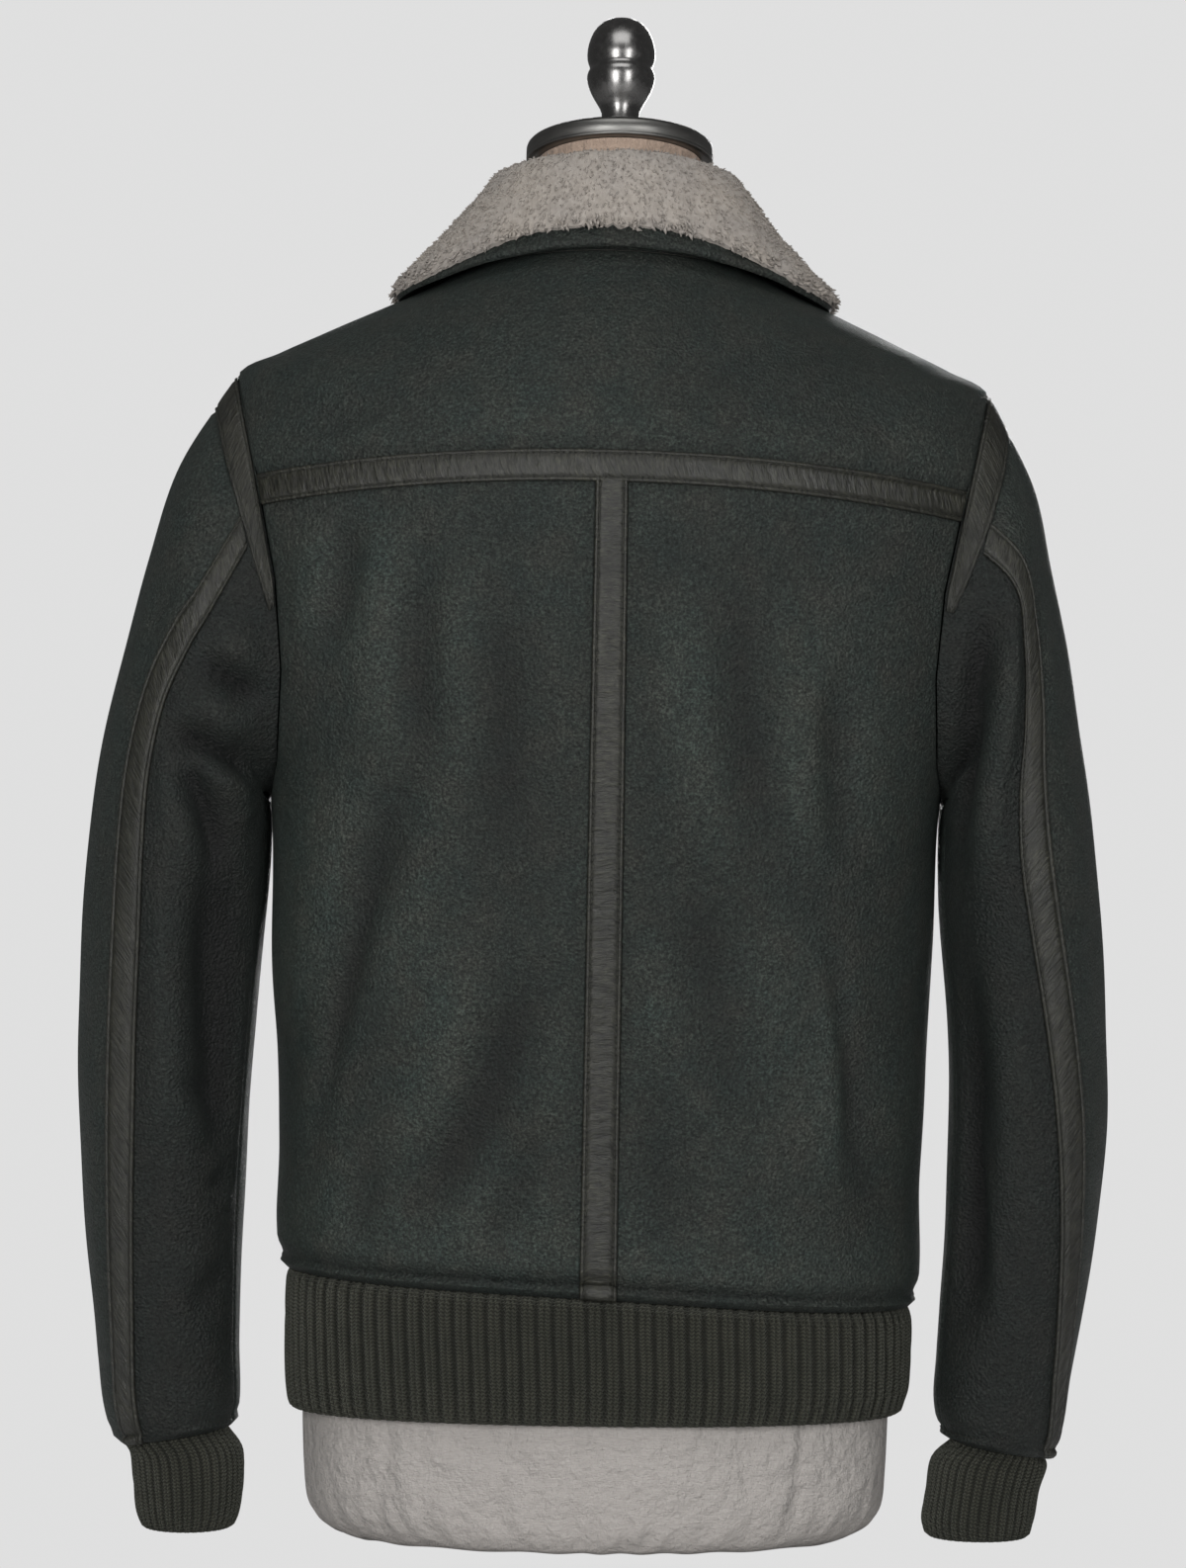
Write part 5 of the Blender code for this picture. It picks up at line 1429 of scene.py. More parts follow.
def make_pile_tree(parts):
    """Scatters tufts where "shown", longer along the fringe."""
    tree = bpy.data.node_groups.new("wool_pile", "GeometryNodeTree")
    socket(tree, "Geometry", "NodeSocketGeometry")
    ids = {"Tuft size": socket(tree, "Tuft size", "NodeSocketFloat", 0.001),
           "Density": socket(tree, "Density", "NodeSocketFloat", 1000.0),
           "Wool": socket(tree, "Wool", "NodeSocketMaterial")}
    tree.interface.new_socket("Geometry", in_out="OUTPUT", socket_type="NodeSocketGeometry")
    nodes, links = tree.nodes, tree.links

    def add(kind, settings=None, **inputs):
        n = nodes.new(kind)
        for key, value in (settings or {}).items():
            setattr(n, key, value)
        for key, value in inputs.items():
            place = n.inputs[int(key[1:]) if key[0] == "i" and key[1:].isdigit()
                             else key.replace("_", " ")]
            if isinstance(value, bpy.types.NodeSocket):
                links.new(value, place)
            else:
                place.default_value = value
        return n

    def named(name, kind):
        n = add("GeometryNodeInputNamedAttribute", {"data_type": kind}, Name=name)
        return n.outputs["Attribute"]

    source, end = nodes.new("NodeGroupInput"), nodes.new("NodeGroupOutput")
    scatter = add("GeometryNodeDistributePointsOnFaces", Mesh=source.outputs["Geometry"], Seed=7)
    links.new(add("ShaderNodeMath", {"operation": "MULTIPLY"}, i0=named("shown", "FLOAT"),
                  i1=source.outputs["Density"]).outputs[0], scatter.inputs["Density"])
    parts_node = add("GeometryNodeCollectionInfo", {"transform_space": "ORIGINAL"},
                     Collection=parts, Separate_Children=True, Reset_Children=True)
    # The tuft leans from the hide's outward direction towards the pile's lie.
    down = add("ShaderNodeVectorMath", {"operation": "SCALE"}, i0=named("lie", "FLOAT_VECTOR"))
    links.new(add("ShaderNodeMapRange", Value=named("fringe", "FLOAT"), To_Min=1.9,
                  To_Max=3.2).outputs[0], down.inputs["Scale"])
    stray = add("FunctionNodeRandomValue", {"data_type": "FLOAT_VECTOR"}, Seed=3)
    stray.inputs[0].default_value = (-0.7, -0.7, -0.7)
    stray.inputs[1].default_value = (0.7, 0.7, 0.7)
    way = add("ShaderNodeVectorMath", {"operation": "ADD"}, i0=named("out", "FLOAT_VECTOR"),
              i1=down.outputs[0])
    way = add("ShaderNodeVectorMath", {"operation": "ADD"}, i0=way.outputs[0],
              i1=stray.outputs[0])
    aligned = add("FunctionNodeAlignRotationToVector", {"axis": "Z"}, Vector=way.outputs[0])
    spin = add("FunctionNodeRandomValue", {"data_type": "FLOAT"}, Seed=11)
    spin.inputs[3].default_value = 6.2832
    about = add("FunctionNodeAxisAngleToRotation", Angle=spin.outputs[1])
    about.inputs["Axis"].default_value = (0, 0, 1)
    turned_way = add("FunctionNodeRotateRotation", {"rotation_space": "LOCAL"},
                     Rotation=aligned.outputs[0], Rotate_By=about.outputs[0])
    size = add("FunctionNodeRandomValue", {"data_type": "FLOAT"}, Seed=5)
    size.inputs[2].default_value = 0.70
    size.inputs[3].default_value = 1.45
    grown = add("ShaderNodeMapRange", Value=named("fringe", "FLOAT"), To_Min=1.0, To_Max=1.9)
    scale = add("ShaderNodeMath", {"operation": "MULTIPLY"}, i0=size.outputs[1],
                i1=add("ShaderNodeMath", {"operation": "MULTIPLY"}, i0=grown.outputs[0],
                       i1=source.outputs["Tuft size"]).outputs[0])
    instances = add("GeometryNodeInstanceOnPoints", Points=scatter.outputs["Points"],
                    Instance=parts_node.outputs[0], Pick_Instance=True,
                    Rotation=turned_way.outputs[0], Scale=scale.outputs[0])
    real = add("GeometryNodeRealizeInstances", Geometry=instances.outputs[0])
    both = add("GeometryNodeJoinGeometry")
    links.new(source.outputs["Geometry"], both.inputs[0])
    links.new(real.outputs[0], both.inputs[0])
    painted = add("GeometryNodeSetMaterial", Geometry=both.outputs[0],
                  Material=source.outputs["Wool"])
    links.new(painted.outputs[0], end.inputs["Geometry"])
    return tree, ids


def make_wool_material():
    made, node, to_shader = new_material(
        "wool_pile", Roughness=0.95, Specular_IOR_Level=0.08, Sheen_Weight=0.35,
        Sheen_Roughness=0.6, Sheen_Tint=(0.92, 0.86, 0.80, 1.0))
    place = node("ShaderNodeTexCoord").outputs["Object"]
    clumps = noise(node, place, 260.0, 3.0, 0.6)
    broad = noise(node, place, 28.0, 2.0)
    light = ramp(node, clumps, (0.28, (0.245, 0.222, 0.200)), (0.50, (0.305, 0.279, 0.254)),
                 (0.72, (0.360, 0.332, 0.305)))
    tint = ramp(node, broad, (0.3, (0.90, 0.90, 0.91)), (0.7, (1.08, 1.06, 1.03)))
    to_shader("Base Color", blended(node, 1.0, light, tint, "MULTIPLY"))
    to_shader("Normal", bump(node, noise(node, place, 1500.0, 2.0), 0.5, 0.0006))
    return made


wool_material = make_wool_material()
tufts = bpy.data.collections.new("tuft_shapes")
for tuft_name, bends in TUFT_SHAPES:
    tufts.objects.link(make_tuft(tuft_name, bends, 0.62))
pile_tree, PILE_INPUTS = make_pile_tree(tufts)
collar_hide = make_collar_hide()
collar_wool = make_wool()
# As many tufts as keep the piece under 200,000 triangles, each of them 14.
TUFT_SIZE = 0.00086
TUFTS_PER_M2 = 160000.0
applied(collar_wool, pile_tree, {PILE_INPUTS["Tuft size"]: TUFT_SIZE,
                                 PILE_INPUTS["Density"]: TUFTS_PER_M2,
                                 PILE_INPUTS["Wool"]: wool_material})
report(collar_wool)

# %% [markdown]
# ## Zip
# Each tape is a thin woven sheet. Its teeth are one small block, repeated down
# the tape's edge by Geometry Nodes. The slider and its pull tab are the packed
# model's own, and only get their metal.

# %% Zip
TAPE = 0.0008
ZIP_DEPTH = 0.0024       # the tapes lie this far behind the coat's face
SLIDER_ROW = 12.55
TOOTH_PITCH = 0.0026


def front_line(count, high):
    """The middle of the front, from the band's edge up, and its outward way."""
    line = [ring_points(row, math.pi) for row in HEM_RIB[::-1]]
    line += list(coat_points(math.pi, np.linspace(0.0, high, 60)))
    line = np.array(line)
    line = np.stack([evenly(line[:, k], line, count) for k in range(3)], axis=-1)
    along = np.gradient(line, axis=0)
    out = np.stack([np.zeros(count), along[:, 2], -along[:, 1]], axis=1)
    return line, out / np.linalg.norm(out, axis=1, keepdims=True)


def make_tape_material():
    made, node, to_shader = new_material("zip_tape", Roughness=0.9, Specular_IOR_Level=0.15)
    coords = node("ShaderNodeTexCoord")
    weave = node("ShaderNodeMapping", Vector=coords.outputs["UV"], Scale=(1500.0, 1100.0, 1.0))
    check = node("ShaderNodeTexBrick", Vector=weave.outputs[0], Scale=1.0)
    tone = noise(node, coords.outputs["Object"], 80.0)
    to_shader("Base Color", ramp(node, tone, (0.3, (0.016, 0.017, 0.015)),
                                 (0.7, (0.026, 0.027, 0.023))))
    to_shader("Normal", bump(node, check.outputs["Fac"], 0.5, 0.0002))
    return made


def make_dark_steel(name, tone, roughness, scale):
    made, node, to_shader = new_material(name, Metallic=1.0)
    place = node("ShaderNodeTexCoord").outputs["Object"]
    specks = noise(node, place, scale, 3.0)
    to_shader("Base Color", ramp(node, specks, (0.3, tuple(0.85 * v for v in tone)), (0.7, tone)))
    to_shader("Roughness", ramp(node, specks, (0.3, roughness * 0.85), (0.7, roughness * 1.2)))
    to_shader("Normal", bump(node, specks, 0.15, 0.0001))
    return made


tape_material = make_tape_material()
zip_steel = make_dark_steel("zip_steel", (0.30, 0.29, 0.27), 0.34, 900.0)


def make_tape(side, sign):
    line, out = front_line(240, float(NECK))
    low, high = 0.0024 + GAP, ZIP_HALF - GAP
    offsets = np.linspace(low, high, 8)
    across = np.array((sign, 0.0, 0.0))
    face = line - out * ZIP_DEPTH
    outer = face[:, None] + across * offsets[:, None]
    normals = np.repeat(out[:, None], 8, axis=1)
    edge = offsets - low
    cord = 0.0005 * hump(edge, 0.0008, 0.0006)
    outer = outer + normals * cord[None, :, None]
    inner = face[:, None] + across * offsets[:, None] - normals * TAPE
    piece = shell(f"zip_tape_{side}", outer, inner)
    piece.data.materials.append(tape_material)
    report(piece)
    return piece


def make_box_mesh(name, size, bevel=0.0):
    mesh = bpy.data.meshes.new(name)
    work = bmesh.new()
    bmesh.ops.create_cube(work, size=1.0)
    bmesh.ops.scale(work, vec=size, verts=work.verts)
    if bevel:
        bmesh.ops.bevel(work, geom=work.edges[:], offset=bevel, segments=1, affect="EDGES")
    work.to_mesh(mesh)
    work.free()
    return bpy.data.objects.new(name, mesh)


def make_row_tree(name, part):
    """Stands a part on every point, its Z along "along" and its X along "out"."""
    tree = bpy.data.node_groups.new(name, "GeometryNodeTree")
    socket(tree, "Geometry", "NodeSocketGeometry")
    ids = {"Part size": socket(tree, "Part size", "NodeSocketFloat", 1.0),
           "Part finish": socket(tree, "Part finish", "NodeSocketMaterial")}
    tree.interface.new_socket("Geometry", in_out="OUTPUT", socket_type="NodeSocketGeometry")
    nodes, links = tree.nodes, tree.links
    source, end = nodes.new("NodeGroupInput"), nodes.new("NodeGroupOutput")
    info = nodes.new("GeometryNodeObjectInfo")
    info.inputs["Object"].default_value = part
    turn = None
    for axis, attribute in (("Z", "along"), ("X", "out")):
        read = nodes.new("GeometryNodeInputNamedAttribute")
        read.data_type = "FLOAT_VECTOR"
        read.inputs["Name"].default_value = attribute
        align = nodes.new("FunctionNodeAlignRotationToVector")
        align.axis = axis
        if turn is not None:
            align.pivot_axis = "Z"
            links.new(turn, align.inputs["Rotation"])
        links.new(read.outputs["Attribute"], align.inputs["Vector"])
        turn = align.outputs[0]
    points = nodes.new("GeometryNodeMeshToPoints")
    stand = nodes.new("GeometryNodeInstanceOnPoints")
    real = nodes.new("GeometryNodeRealizeInstances")
    paint = nodes.new("GeometryNodeSetMaterial")
    links.new(source.outputs["Geometry"], points.inputs["Mesh"])
    links.new(points.outputs[0], stand.inputs["Points"])
    links.new(info.outputs["Geometry"], stand.inputs["Instance"])
    links.new(turn, stand.inputs["Rotation"])
    links.new(source.outputs["Part size"], stand.inputs["Scale"])
    links.new(stand.outputs[0], real.inputs["Geometry"])
    links.new(real.outputs[0], paint.inputs["Geometry"])
    links.new(source.outputs["Part finish"], paint.inputs["Material"])
    links.new(paint.outputs[0], end.inputs["Geometry"])
    return tree, ids


def in_rows(name, tree_and_ids, points, along, out, size, finish):
    """One mesh of a part repeated at those points."""
    mesh = bpy.data.meshes.new(name)
    mesh.from_pydata(np.asarray(points).tolist(), [], [])
    give(mesh, "along", "FLOAT_VECTOR", along)
    give(mesh, "out", "FLOAT_VECTOR", out)
    piece = bpy.data.objects.new(name, mesh)
    bpy.context.scene.collection.objects.link(piece)
    tree, ids = tree_and_ids
    return applied(piece, tree, {ids["Part size"]: size, ids["Part finish"]: finish})


tooth = make_box_mesh("tooth", (0.0024, 0.0030, 0.0013), 0.0003)
tooth_rows = make_row_tree("zip_teeth", tooth)
zip_tapes = {side: make_tape(side, sign) for side, sign in SIDES}


def make_teeth():
    line, out = front_line(900, SLIDER_ROW)
    run = lengths(line)
    low_end = 0.002
    high_end = np.interp(coat_points(math.pi, SLIDER_ROW)[2] - 0.0065, line[:, 2], run)
    count = int((high_end - low_end) / TOOTH_PITCH)
    at = low_end + TOOTH_PITCH * np.arange(count * 2) / 2.0
    spots = np.stack([np.interp(at, run, line[:, k]) for k in range(3)], axis=-1)
    ways = np.stack([np.interp(at, run, out[:, k]) for k in range(3)], axis=-1)
    side = np.where(np.arange(len(at)) % 2 == 0, 1.0, -1.0)
    spots = spots - ways * ZIP_DEPTH
    spots[:, 0] += 0.0010 * side
    up = np.cross(ways, (1.0, 0.0, 0.0))
    up *= np.sign(up[:, 2:3])
    return in_rows("zip_chain_fine", tooth_rows, spots, up, ways, 1.0, zip_steel)


zip_chain = make_teeth()
report(zip_chain)

# %% [markdown]
# ## Dress form
# The form under the coat is covered in linen that was pulled tight, turned
# under at the bottom and gathered there into small puckers. It's one lathe-like
# skin from the base to the neck.

# %% Form
FORM_BODY = np.array((
    # z_back z_side z_front half_w  back   front  power
    (0.0000, 0.0000, 0.0000, 0.1430, 0.0960, 0.0920, 2.05),
    (0.0035, 0.0035, 0.0035, 0.1530, 0.1030, 0.0990, 2.05),
    (0.0120, 0.0120, 0.0120, 0.1620, 0.1075, 0.1040, 2.15),
    (0.0280, 0.0280, 0.0280, 0.1685, 0.1090, 0.1060, 2.25),
    (0.0750, 0.0750, 0.0750, 0.1715, 0.1100, 0.1070, 2.30),
    (0.1500, 0.1500, 0.1500, 0.1725, 0.1130, 0.1090, 2.30),
    (0.2500, 0.2500, 0.2500, 0.1740, 0.1180, 0.1150, 2.30),
    (0.3500, 0.3500, 0.3450, 0.1780, 0.1230, 0.1210, 2.25),
    (0.4300, 0.4300, 0.4200, 0.1825, 0.1270, 0.1260, 2.25),
    (0.5000, 0.5000, 0.4800, 0.1860, 0.1290, 0.1280, 2.25),
    (0.5600, 0.5600, 0.5250, 0.1890, 0.1290, 0.1280, 2.20),
    (0.6100, 0.6100, 0.5620, 0.1940, 0.1280, 0.1270, 2.15),
    (0.6420, 0.6430, 0.5850, 0.2050, 0.1250, 0.1260, 2.10),
))
FORM_NECK = np.array((
    (0.7420, 0.7330, 0.6670, 0.0700, 0.0610, 0.0730, 2.00),
    (0.7620, 0.7560, 0.7050, 0.0550, 0.0525, 0.0560, 2.00),
    (0.7850, 0.7780, 0.7500, 0.0485, 0.0485, 0.0485, 2.00),
))
FORM_SHOULDER_ROWS = (9.5, 10, 11, 12, 13)
NECK_TOP, NECK_SIDE, NECK_RADIUS = 0.8010, 0.0016, 0.0480
CAP_TILT = math.radians(13.0)


def form_controls(angles):
    rows = [ring_points(np.tile(row, (len(angles), 1)), angles) for row in FORM_BODY]
    for t in FORM_SHOULDER_ROWS:
        ring = np.full(len(angles), float(t))
        points = coat_points(angles, ring)
        across = coat_points(angles + 0.004, ring) - points
        along = coat_points(angles, ring + 0.02) - points
        n = np.cross(across, along)
        n /= np.linalg.norm(n, axis=-1, keepdims=True)
        n *= np.sign(np.einsum("ij,ij->", n, points - points.mean(axis=0)))
        rows.append(points - n * (HIDE + SEAT + 0.0006))
    rows += [ring_points(np.tile(row, (len(angles), 1)), angles) for row in FORM_NECK]
    y = -NECK_RADIUS * np.cos(angles) * math.cos(CAP_TILT)
    rows.append(lean(NECK_RADIUS * np.sin(angles) + NECK_SIDE, y,
                     NECK_TOP - math.tan(CAP_TILT) * y))
    return np.array(rows)


def skin_of_rings(name, grid):
    """One closed skin from rings of points, with flat ends."""
    rows, cols = grid.shape[:2]
    ring = np.concatenate([grid, grid[:, :1]], axis=1)
    along = lengths(np.swapaxes(grid, 0, 1)).T
    uv = np.stack([lengths(ring), np.concatenate([along, along[:, :1]], axis=1)], axis=-1)
    faces, corners = [], []
    for i in range(rows - 1):
        for j in range(cols):
            k = (j + 1) % cols
            faces.append((i * cols + j, i * cols + k, (i + 1) * cols + k, (i + 1) * cols + j))
            corners.append([uv[i, j], uv[i, j + 1], uv[i + 1, j + 1], uv[i + 1, j]])
    points = list(grid.reshape(-1, 3))
    for row, turned_over in ((0, True), (rows - 1, False)):
        hub = len(points)
        points.append(grid[row].mean(axis=0))
        for j in range(cols):
            a, b = row * cols + j, row * cols + (j + 1) % cols
            faces.append((b, a, hub) if turned_over else (a, b, hub))
            corners.append([uv[row, j]] * 3)
    return finish_mesh(name, points, faces, corners)


def make_linen():
    """Plain woven linen: crossed threads, slubs, and the neck's warmer tone."""
    made, node, to_shader = new_material("form_linen", Roughness=0.9, Specular_IOR_Level=0.18,
                                         Sheen_Weight=0.12, Sheen_Roughness=0.5)
    coords = node("ShaderNodeTexCoord")
    split = node("ShaderNodeSeparateXYZ", Vector=coords.outputs["UV"])
    warp = maths(node, "SINE", maths(node, "MULTIPLY", split.outputs["X"], 6800.0))
    weft = maths(node, "SINE", maths(node, "MULTIPLY", split.outputs["Y"], 6800.0))
    slub = node("ShaderNodeMapping", Vector=coords.outputs["UV"], Scale=(90.0, 1600.0, 1.0))
    slubs = noise(node, slub.outputs[0], 1.0, 2.0)
    threads = maths(node, "ADD", maths(node, "ADD", warp, weft),
                    maths(node, "MULTIPLY", slubs, 2.5))
    place = coords.outputs["Object"]
    height = node("ShaderNodeSeparateXYZ", Vector=place).outputs["Z"]
    neck = node("ShaderNodeMapRange", Value=height, From_Min=0.752, From_Max=0.757).outputs[0]
    cloth = ramp(node, slubs, (0.3, (0.380, 0.355, 0.335)), (0.7, (0.450, 0.422, 0.400)))
    skin = ramp(node, slubs, (0.3, (0.440, 0.330, 0.260)), (0.7, (0.520, 0.395, 0.315)))
    to_shader("Base Color", blended(node, neck, cloth, skin))
    crumpled = noise(node, place, 55.0, 5.0, 0.62)
    weave = bump(node, threads, 0.30, 0.00025)
    to_shader("Normal", bump(node, crumpled, 0.90, 0.0100, weave))
    return made


def make_form_body():
    cols = 320
    fine = np.linspace(-math.pi, math.pi, 4000)
    turns = evenly(fine, ring_points(np.tile(FORM_BODY[5], (4000, 1)), fine), cols + 1)[:-1]
    controls = form_controls(turns)
    count = len(controls)
    t = np.linspace(0.0, count - 1.0, 900)
    flat = table_rows(controls.reshape(count, -1), t).reshape(len(t), cols, 3)
    run = lengths(np.swapaxes(flat, 0, 1)).mean(axis=0)
    # Close rows where the skirt of the form shows, wide ones under the coat.
    shown = np.linspace(0.0, 0.105, 42)
    hidden = np.linspace(0.115, run[-1] - 0.070, 22)
    neck = np.linspace(run[-1] - 0.064, run[-1], 16)
    picked = np.interp(np.concatenate([shown, hidden, neck]), run, t)
    grid = table_rows(controls.reshape(count, -1), picked).reshape(-1, cols, 3)
    normals = grid_normals(grid, closed=True)
    if np.einsum("ijk,ijk->", normals[:40], grid[:40] - grid[:40].mean(axis=(0, 1))) < 0:
        normals = -normals
    x, y, z = grid[..., 0], grid[..., 1], grid[..., 2]
    around = lengths(grid[20])[None, :]
    low = smooth(z, 0.002, 0.010) * (1.0 - smooth(z, 0.014, 0.045))
    puckers = 0.0006 * low * (np.sin(330.0 * around + 2.0 * np.sin(40.0 * around))
                              + 0.6 * np.sin(190.0 * around + 1.0))
    skirt = smooth(z, 0.004, 0.020) * (1.0 - smooth(z, 0.085, 0.13))
    creases = np.zeros_like(x)
    for x0, x1, z0, z1, width, depth in FORM_CREASES:
        f = np.clip((z - z0) / (z1 - z0), 0.0, 1.0)
        creases -= depth * hump(x, x0 + (x1 - x0) * f, width) * smooth(z, z0 - 0.01, z0 + 0.015)
    drape = 0.0010 * np.sin(42.0 * around + 9.0 * z) + 0.0006 * np.sin(95.0 * around - 20.0 * z)
    back = smooth(-y, 0.0, 0.03)
    seam = -0.0009 * hump(x, 0.0045, 0.0010) * back
    front_seam = -0.0009 * hump(x, 0.0045, 0.0010) * (1.0 - back)
    relief = puckers + skirt * (drape + creases * back) + (seam + front_seam) * (
        smooth(z, 0.003, 0.012) * (1.0 - smooth(z, 0.10, 0.12)))
    relief = np.where(z > 0.13, 0.0, relief)
    grid = grid + normals * relief[..., None]
    hollows = 0.5 + 0.5 * np.sin(150.0 * around[0] + 2.0 * np.sin(26.0 * around[0]))
    grid[..., 2] += 0.0008 * hollows * (1.0 - smooth(grid[..., 2], 0.0, 0.016))
    grid[..., 2] -= grid[..., 2].min()
    piece = skin_of_rings("form_body", grid)
    piece.data.materials.append(linen)
    report(piece)
    return piece


FORM_CREASES = (
    # x at z0, x at z1, z0, z1, width, depth
    (0.1180, 0.1240, 0.010, 0.075, 0.0030, 0.0026),
    (0.0960, 0.0900, 0.012, 0.060, 0.0050, 0.0012),
    (-0.0450, -0.0560, 0.010, 0.070, 0.0050, 0.0012),
    (-0.1200, -0.1150, 0.012, 0.060, 0.0045, 0.0014),
    (0.0420, 0.0500, 0.012, 0.050, 0.0060, 0.0010),
    (-0.0900, -0.0930, 0.014, 0.060, 0.0060, 0.0010),
)
linen = make_linen()
form_body = make_form_body()

# %% [markdown]
# ## Neck cap and finial
# Both are turned on a lathe: a profile of radius and height, swept round. The
# cap is brushed and the finial polished, so they need different finishes more
# than different shapes.

# %% Turned metal
CAP_THICK = 0.0120
CAP_PROFILE = (
    (0.0500, 0.0003), (0.0540, 0.0003), (0.0545, 0.0006), (0.0546, 0.0012), (0.0546, 0.0018),
    (0.0543, 0.0021), (0.0543, 0.0024), (0.0546, 0.0027), (0.0546, 0.0075), (0.0545, 0.0088),
    (0.0541, 0.0100), (0.0533, 0.0109), (0.0521, 0.0115), (0.0500, 0.0118), (0.0470, 0.0120),
    (0.0300, 0.0121), (0.0160, 0.0121), (0.0020, 0.0121),
)
FINIAL_PROFILE = np.array((
    # radius  height
    (0.0135, 0.0000), (0.0137, 0.0006), (0.0136, 0.0012), (0.0128, 0.0018), (0.0120, 0.0026),
    (0.0114, 0.0040), (0.0110, 0.0065), (0.0108, 0.0100), (0.0108, 0.0140), (0.0111, 0.0190),
    (0.0122, 0.0222), (0.0139, 0.0252), (0.0158, 0.0285), (0.0174, 0.0316), (0.0187, 0.0348),
    (0.0195, 0.0378), (0.0199, 0.0403), (0.0198, 0.0422), (0.0193, 0.0438), (0.0187, 0.0450),
    (0.0184, 0.0461), (0.0184, 0.0472), (0.0187, 0.0484), (0.0193, 0.0500), (0.0198, 0.0520),
    (0.0200, 0.0545), (0.0198, 0.0578), (0.0192, 0.0612), (0.0182, 0.0645), (0.0169, 0.0676),
    (0.0150, 0.0706), (0.0126, 0.0731), (0.0096, 0.0750), (0.0062, 0.0760), (0.0020, 0.0763),
))


def cap_place(x, y, z):
    """The cap's own axes, tipped forwards with the neck."""
    return lean(x + NECK_SIDE, y * math.cos(CAP_TILT) + z * math.sin(CAP_TILT),
                NECK_TOP + z * math.cos(CAP_TILT) - y * math.sin(CAP_TILT))


def turned(name, profile, sides, material, lift=0.0):
    profile = np.asarray(profile, float)
    angle = np.linspace(0.0, 2.0 * math.pi, sides, endpoint=False)
    radius, height = profile[:, :1], profile[:, 1:] + lift
    grid = cap_place(radius * np.sin(angle), -radius * np.cos(angle), height + 0 * angle)
    piece = skin_of_rings(name, grid)
    piece.data.materials.append(material)
    report(piece)
    return piece


def make_brushed():
    """Dark brushed metal: fine rings round the rim."""
    made, node, to_shader = new_material("brushed_metal", Metallic=1.0, Anisotropic=0.5)
    coords = node("ShaderNodeTexCoord")
    lines = node("ShaderNodeMapping", Vector=coords.outputs["UV"], Scale=(60.0, 5200.0, 1.0))
    streaks = noise(node, lines.outputs[0], 1.0, 3.0, 0.7)
    to_shader("Base Color", ramp(node, streaks, (0.3, (0.10, 0.10, 0.095)),
                                 (0.7, (0.22, 0.215, 0.205))))
    to_shader("Roughness", ramp(node, streaks, (0.3, 0.30), (0.7, 0.46)))
    to_shader("Normal", bump(node, streaks, 0.12, 0.0001))
    return made


brushed = make_brushed()
polished = make_dark_steel("polished_steel", (0.23, 0.225, 0.22), 0.26, 260.0)
form_cap = turned("form_cap", CAP_PROFILE, 128, brushed)
form_finial = turned("form_finial", FINIAL_PROFILE, 96, polished, CAP_THICK + GAP)

# %% [markdown]
# ## Stitches
# The rows of stitches were collected while the strips were made. One small
# capsule repeats along every row, sunk a little into the groove.

# %% Stitch rows
HEM_STITCH = 0.0036


def resampled(line, ways, pitch):
    run = lengths(line)
    at = np.arange(0.4 * pitch, run[-1] - 0.3 * pitch, pitch)
    spots = np.stack([np.interp(at, run, line[:, k]) for k in range(3)], axis=-1)
    out = np.stack([np.interp(at, run, ways[:, k]) for k in range(3)], axis=-1)
    ahead = np.stack([np.interp(at + 0.0006, run, line[:, k]) for k in range(3)], axis=-1)
    behind = np.stack([np.interp(at - 0.0006, run, line[:, k]) for k in range(3)], axis=-1)
    along = ahead - behind
    return spots, along / np.linalg.norm(along, axis=1, keepdims=True), out


def make_thread():
    made, node, to_shader = new_material("sewing_thread", Roughness=0.6, Specular_IOR_Level=0.3)
    place = node("ShaderNodeTexCoord").outputs["Object"]
    to_shader("Base Color", ramp(node, noise(node, place, 400.0), (0.3, (0.018, 0.019, 0.015)),
                                 (0.7, (0.034, 0.035, 0.028))))
    return made


thread = make_thread()
stitch = make_box_mesh("stitch", (0.00042, 0.00050, 0.0024))
stitch_rows = make_row_tree("stitches", stitch)


def sleeve_end_stitches(side):
    """A row of stitches round a sleeve, where its end is turned up."""
    sleeve = sleeves[side]
    q = np.linspace(0.02, 1.98, 240)
    s = np.linspace(sleeve.last - 1.0, sleeve.last, 60)
    grid = sleeve.points(q[None, :], s[:, None])
    left = lengths(np.swapaxes(grid, 0, 1)).T
    left = left[-1:] - left
    pick = np.array([np.interp(-SLEEVE_HEM, -left[:, j], s) for j in range(len(q))])
    line = sleeve.points(q, pick)
    out = line - line.mean(axis=0)
    down = grid[-1] - grid[-2]
    down /= np.linalg.norm(down, axis=-1, keepdims=True)
    out -= np.einsum("ij,ij->i", out, down)[:, None] * down
    out /= np.linalg.norm(out, axis=-1, keepdims=True)
    return line + out * 0.0004, out, HEM_STITCH


seams += [sleeve_end_stitches(side) for side, _ in SIDES]
spots, alongs, outs = (np.concatenate(part) for part in zip(
    *(resampled(line, ways, pitch) for line, ways, pitch in seams)))
stitching = in_rows("stitching", stitch_rows, spots, alongs, outs, 1.0, thread)
report(stitching)

# %% [markdown]
# ## Which piece stands for which node
# Every piece rides on a body of the imported model and replaces its plain solid.

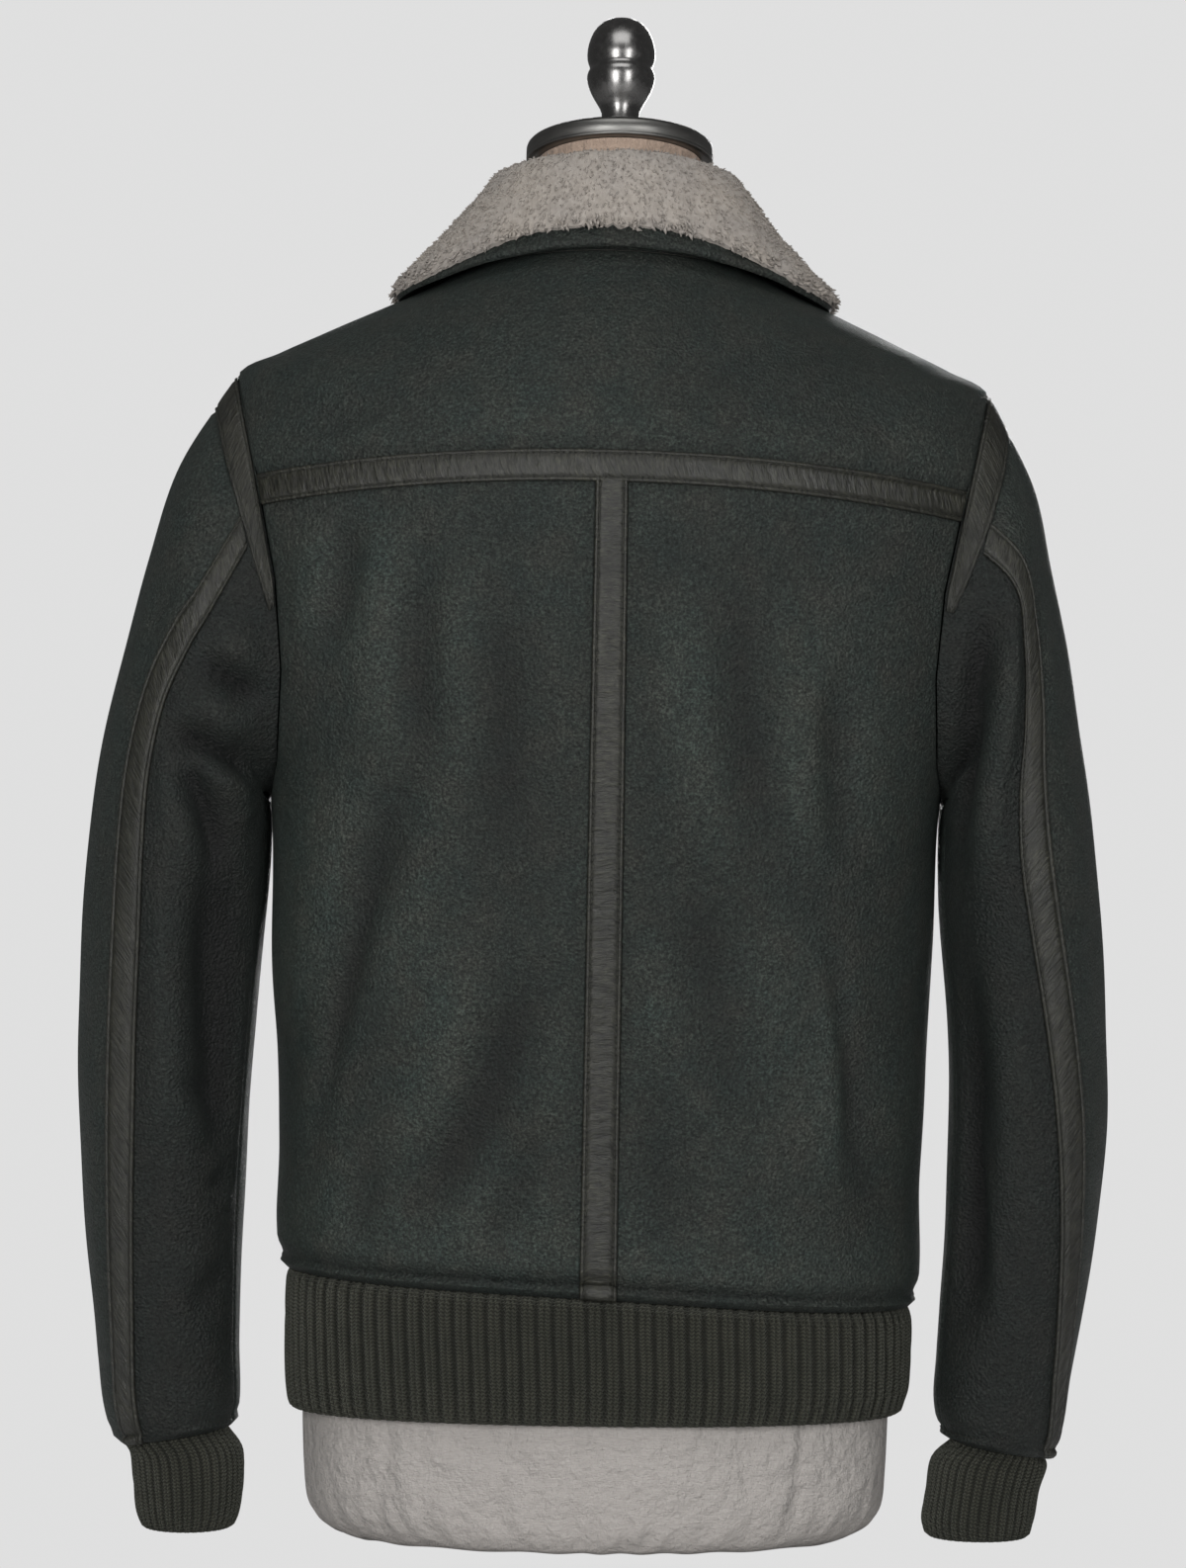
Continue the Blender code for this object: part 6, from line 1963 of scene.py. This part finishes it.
# %% Pieces on the body
SLOTS = {
    "suede": (yoke, *backs.values(), *fronts.values(), collar_hide,
              *(p for pair in sleeve_pieces.values() for p in pair.values())),
    "leather": (strip_back, strip_yoke, *armhole_strips.values(), *sleeve_strips.values()),
    "knit": (hem_rib, *cuffs.values()),
    "pile": (collar_wool,),
    "tape": tuple(zip_tapes.values()),
    "steel": (zip_chain, form_cap),
    "linen": (form_body,),
    "chrome": (form_finial,),
}
for slot_name, members in SLOTS.items():
    for piece in members:
        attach(piece, COAT_BODY)
        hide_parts(piece.name.removesuffix("_fine"))
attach(stitching, COAT_BODY)
for node_name in ("zip_slider", "zip_pull"):
    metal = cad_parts[node_name]
    metal.data.materials.clear()
    metal.data.materials.append(zip_steel)

# %% [markdown]
# ## Camera, light and floor
# The camera stands straight behind the coat with a long lens. Two tall soft
# lights stand one on each side of it, so that the hide shines softly down the
# middle of each panel. A weak one hangs overhead, and one lights the front.

# %% Studio
CAMERA_AT = (-0.00141, -3.59787, 0.4386)
CAMERA_TURN = (math.radians(90.0), math.radians(-0.6), 0.0)
LENS = 141.37
LIGHTS = (
    # name, place, size across, size up, power in watts
    ("left_softbox", (-1.1, -3.3, 0.85), 0.8, 1.6, 56.0),
    ("right_softbox", (1.5, -3.2, 0.95), 0.8, 1.6, 38.0),
    ("top_softbox", (0.0, -1.4, 2.6), 2.0, 1.2, 20.0),
    ("front_softbox", (0.4, 3.4, 1.1), 1.2, 1.6, 70.0),
)
PALE = 0.742             # the backdrop's tone


def backdrop_shader(tree, lit, end, kind):
    """What the camera sees of the backdrop is one pale tone; the rest is light."""
    path = tree.nodes.new("ShaderNodeLightPath")
    seen = tree.nodes.new("ShaderNodeBackground" if kind == "world" else "ShaderNodeEmission")
    seen.inputs["Color"].default_value = (PALE, PALE, PALE, 1.0)
    mix = tree.nodes.new("ShaderNodeMixShader")
    tree.links.new(path.outputs["Is Camera Ray"], mix.inputs[0])
    tree.links.new(lit, mix.inputs[1])
    tree.links.new(seen.outputs[0], mix.inputs[2])
    tree.links.new(mix.outputs[0], end)


scene = bpy.context.scene
camera = bpy.data.objects.new("camera", bpy.data.cameras.new("camera"))
camera.data.lens = LENS
camera.data.sensor_width = 36.0
camera.location, camera.rotation_euler = CAMERA_AT, CAMERA_TURN
scene.collection.objects.link(camera)
scene.camera = camera

for light_name, at, across, up, watts in LIGHTS:
    lamp = bpy.data.lights.new(light_name, "AREA")
    lamp.shape, lamp.size, lamp.size_y, lamp.energy = "RECTANGLE", across, up, watts
    holder = bpy.data.objects.new(light_name, lamp)
    holder.location = at
    holder.rotation_euler = (Vector((0, 0, 0.42)) - Vector(at)).to_track_quat("-Z", "Y").to_euler()
    scene.collection.objects.link(holder)

world = bpy.data.worlds.new("studio")
world.use_nodes = True
world_tree = world.node_tree
sky = world_tree.nodes["Background"]
sky.inputs["Color"].default_value = (1.0, 1.0, 1.0, 1.0)
sky.inputs["Strength"].default_value = 0.10
backdrop_shader(world_tree, sky.outputs[0], world_tree.nodes["World Output"].inputs["Surface"],
                "world")
scene.world = world

floor_material = bpy.data.materials.new("pale_floor")
floor_material.use_nodes = True
floor_tree = floor_material.node_tree
paint = floor_tree.nodes["Principled BSDF"]
paint.inputs["Base Color"].default_value = (0.70, 0.70, 0.70, 1.0)
paint.inputs["Roughness"].default_value = 0.9
backdrop_shader(floor_tree, paint.outputs[0],
                floor_tree.nodes["Material Output"].inputs["Surface"], "floor")
floor_mesh = bpy.data.meshes.new("floor")
REACH = 3.0
floor_mesh.from_pydata([(-REACH, -REACH, -0.0005), (REACH, -REACH, -0.0005),
                        (REACH, REACH, -0.0005), (-REACH, REACH, -0.0005)], [], [(0, 1, 2, 3)])
floor = bpy.data.objects.new("floor", floor_mesh)
floor.data.materials.append(floor_material)
scene.collection.objects.link(floor)
scene.view_settings.view_transform = "Standard"
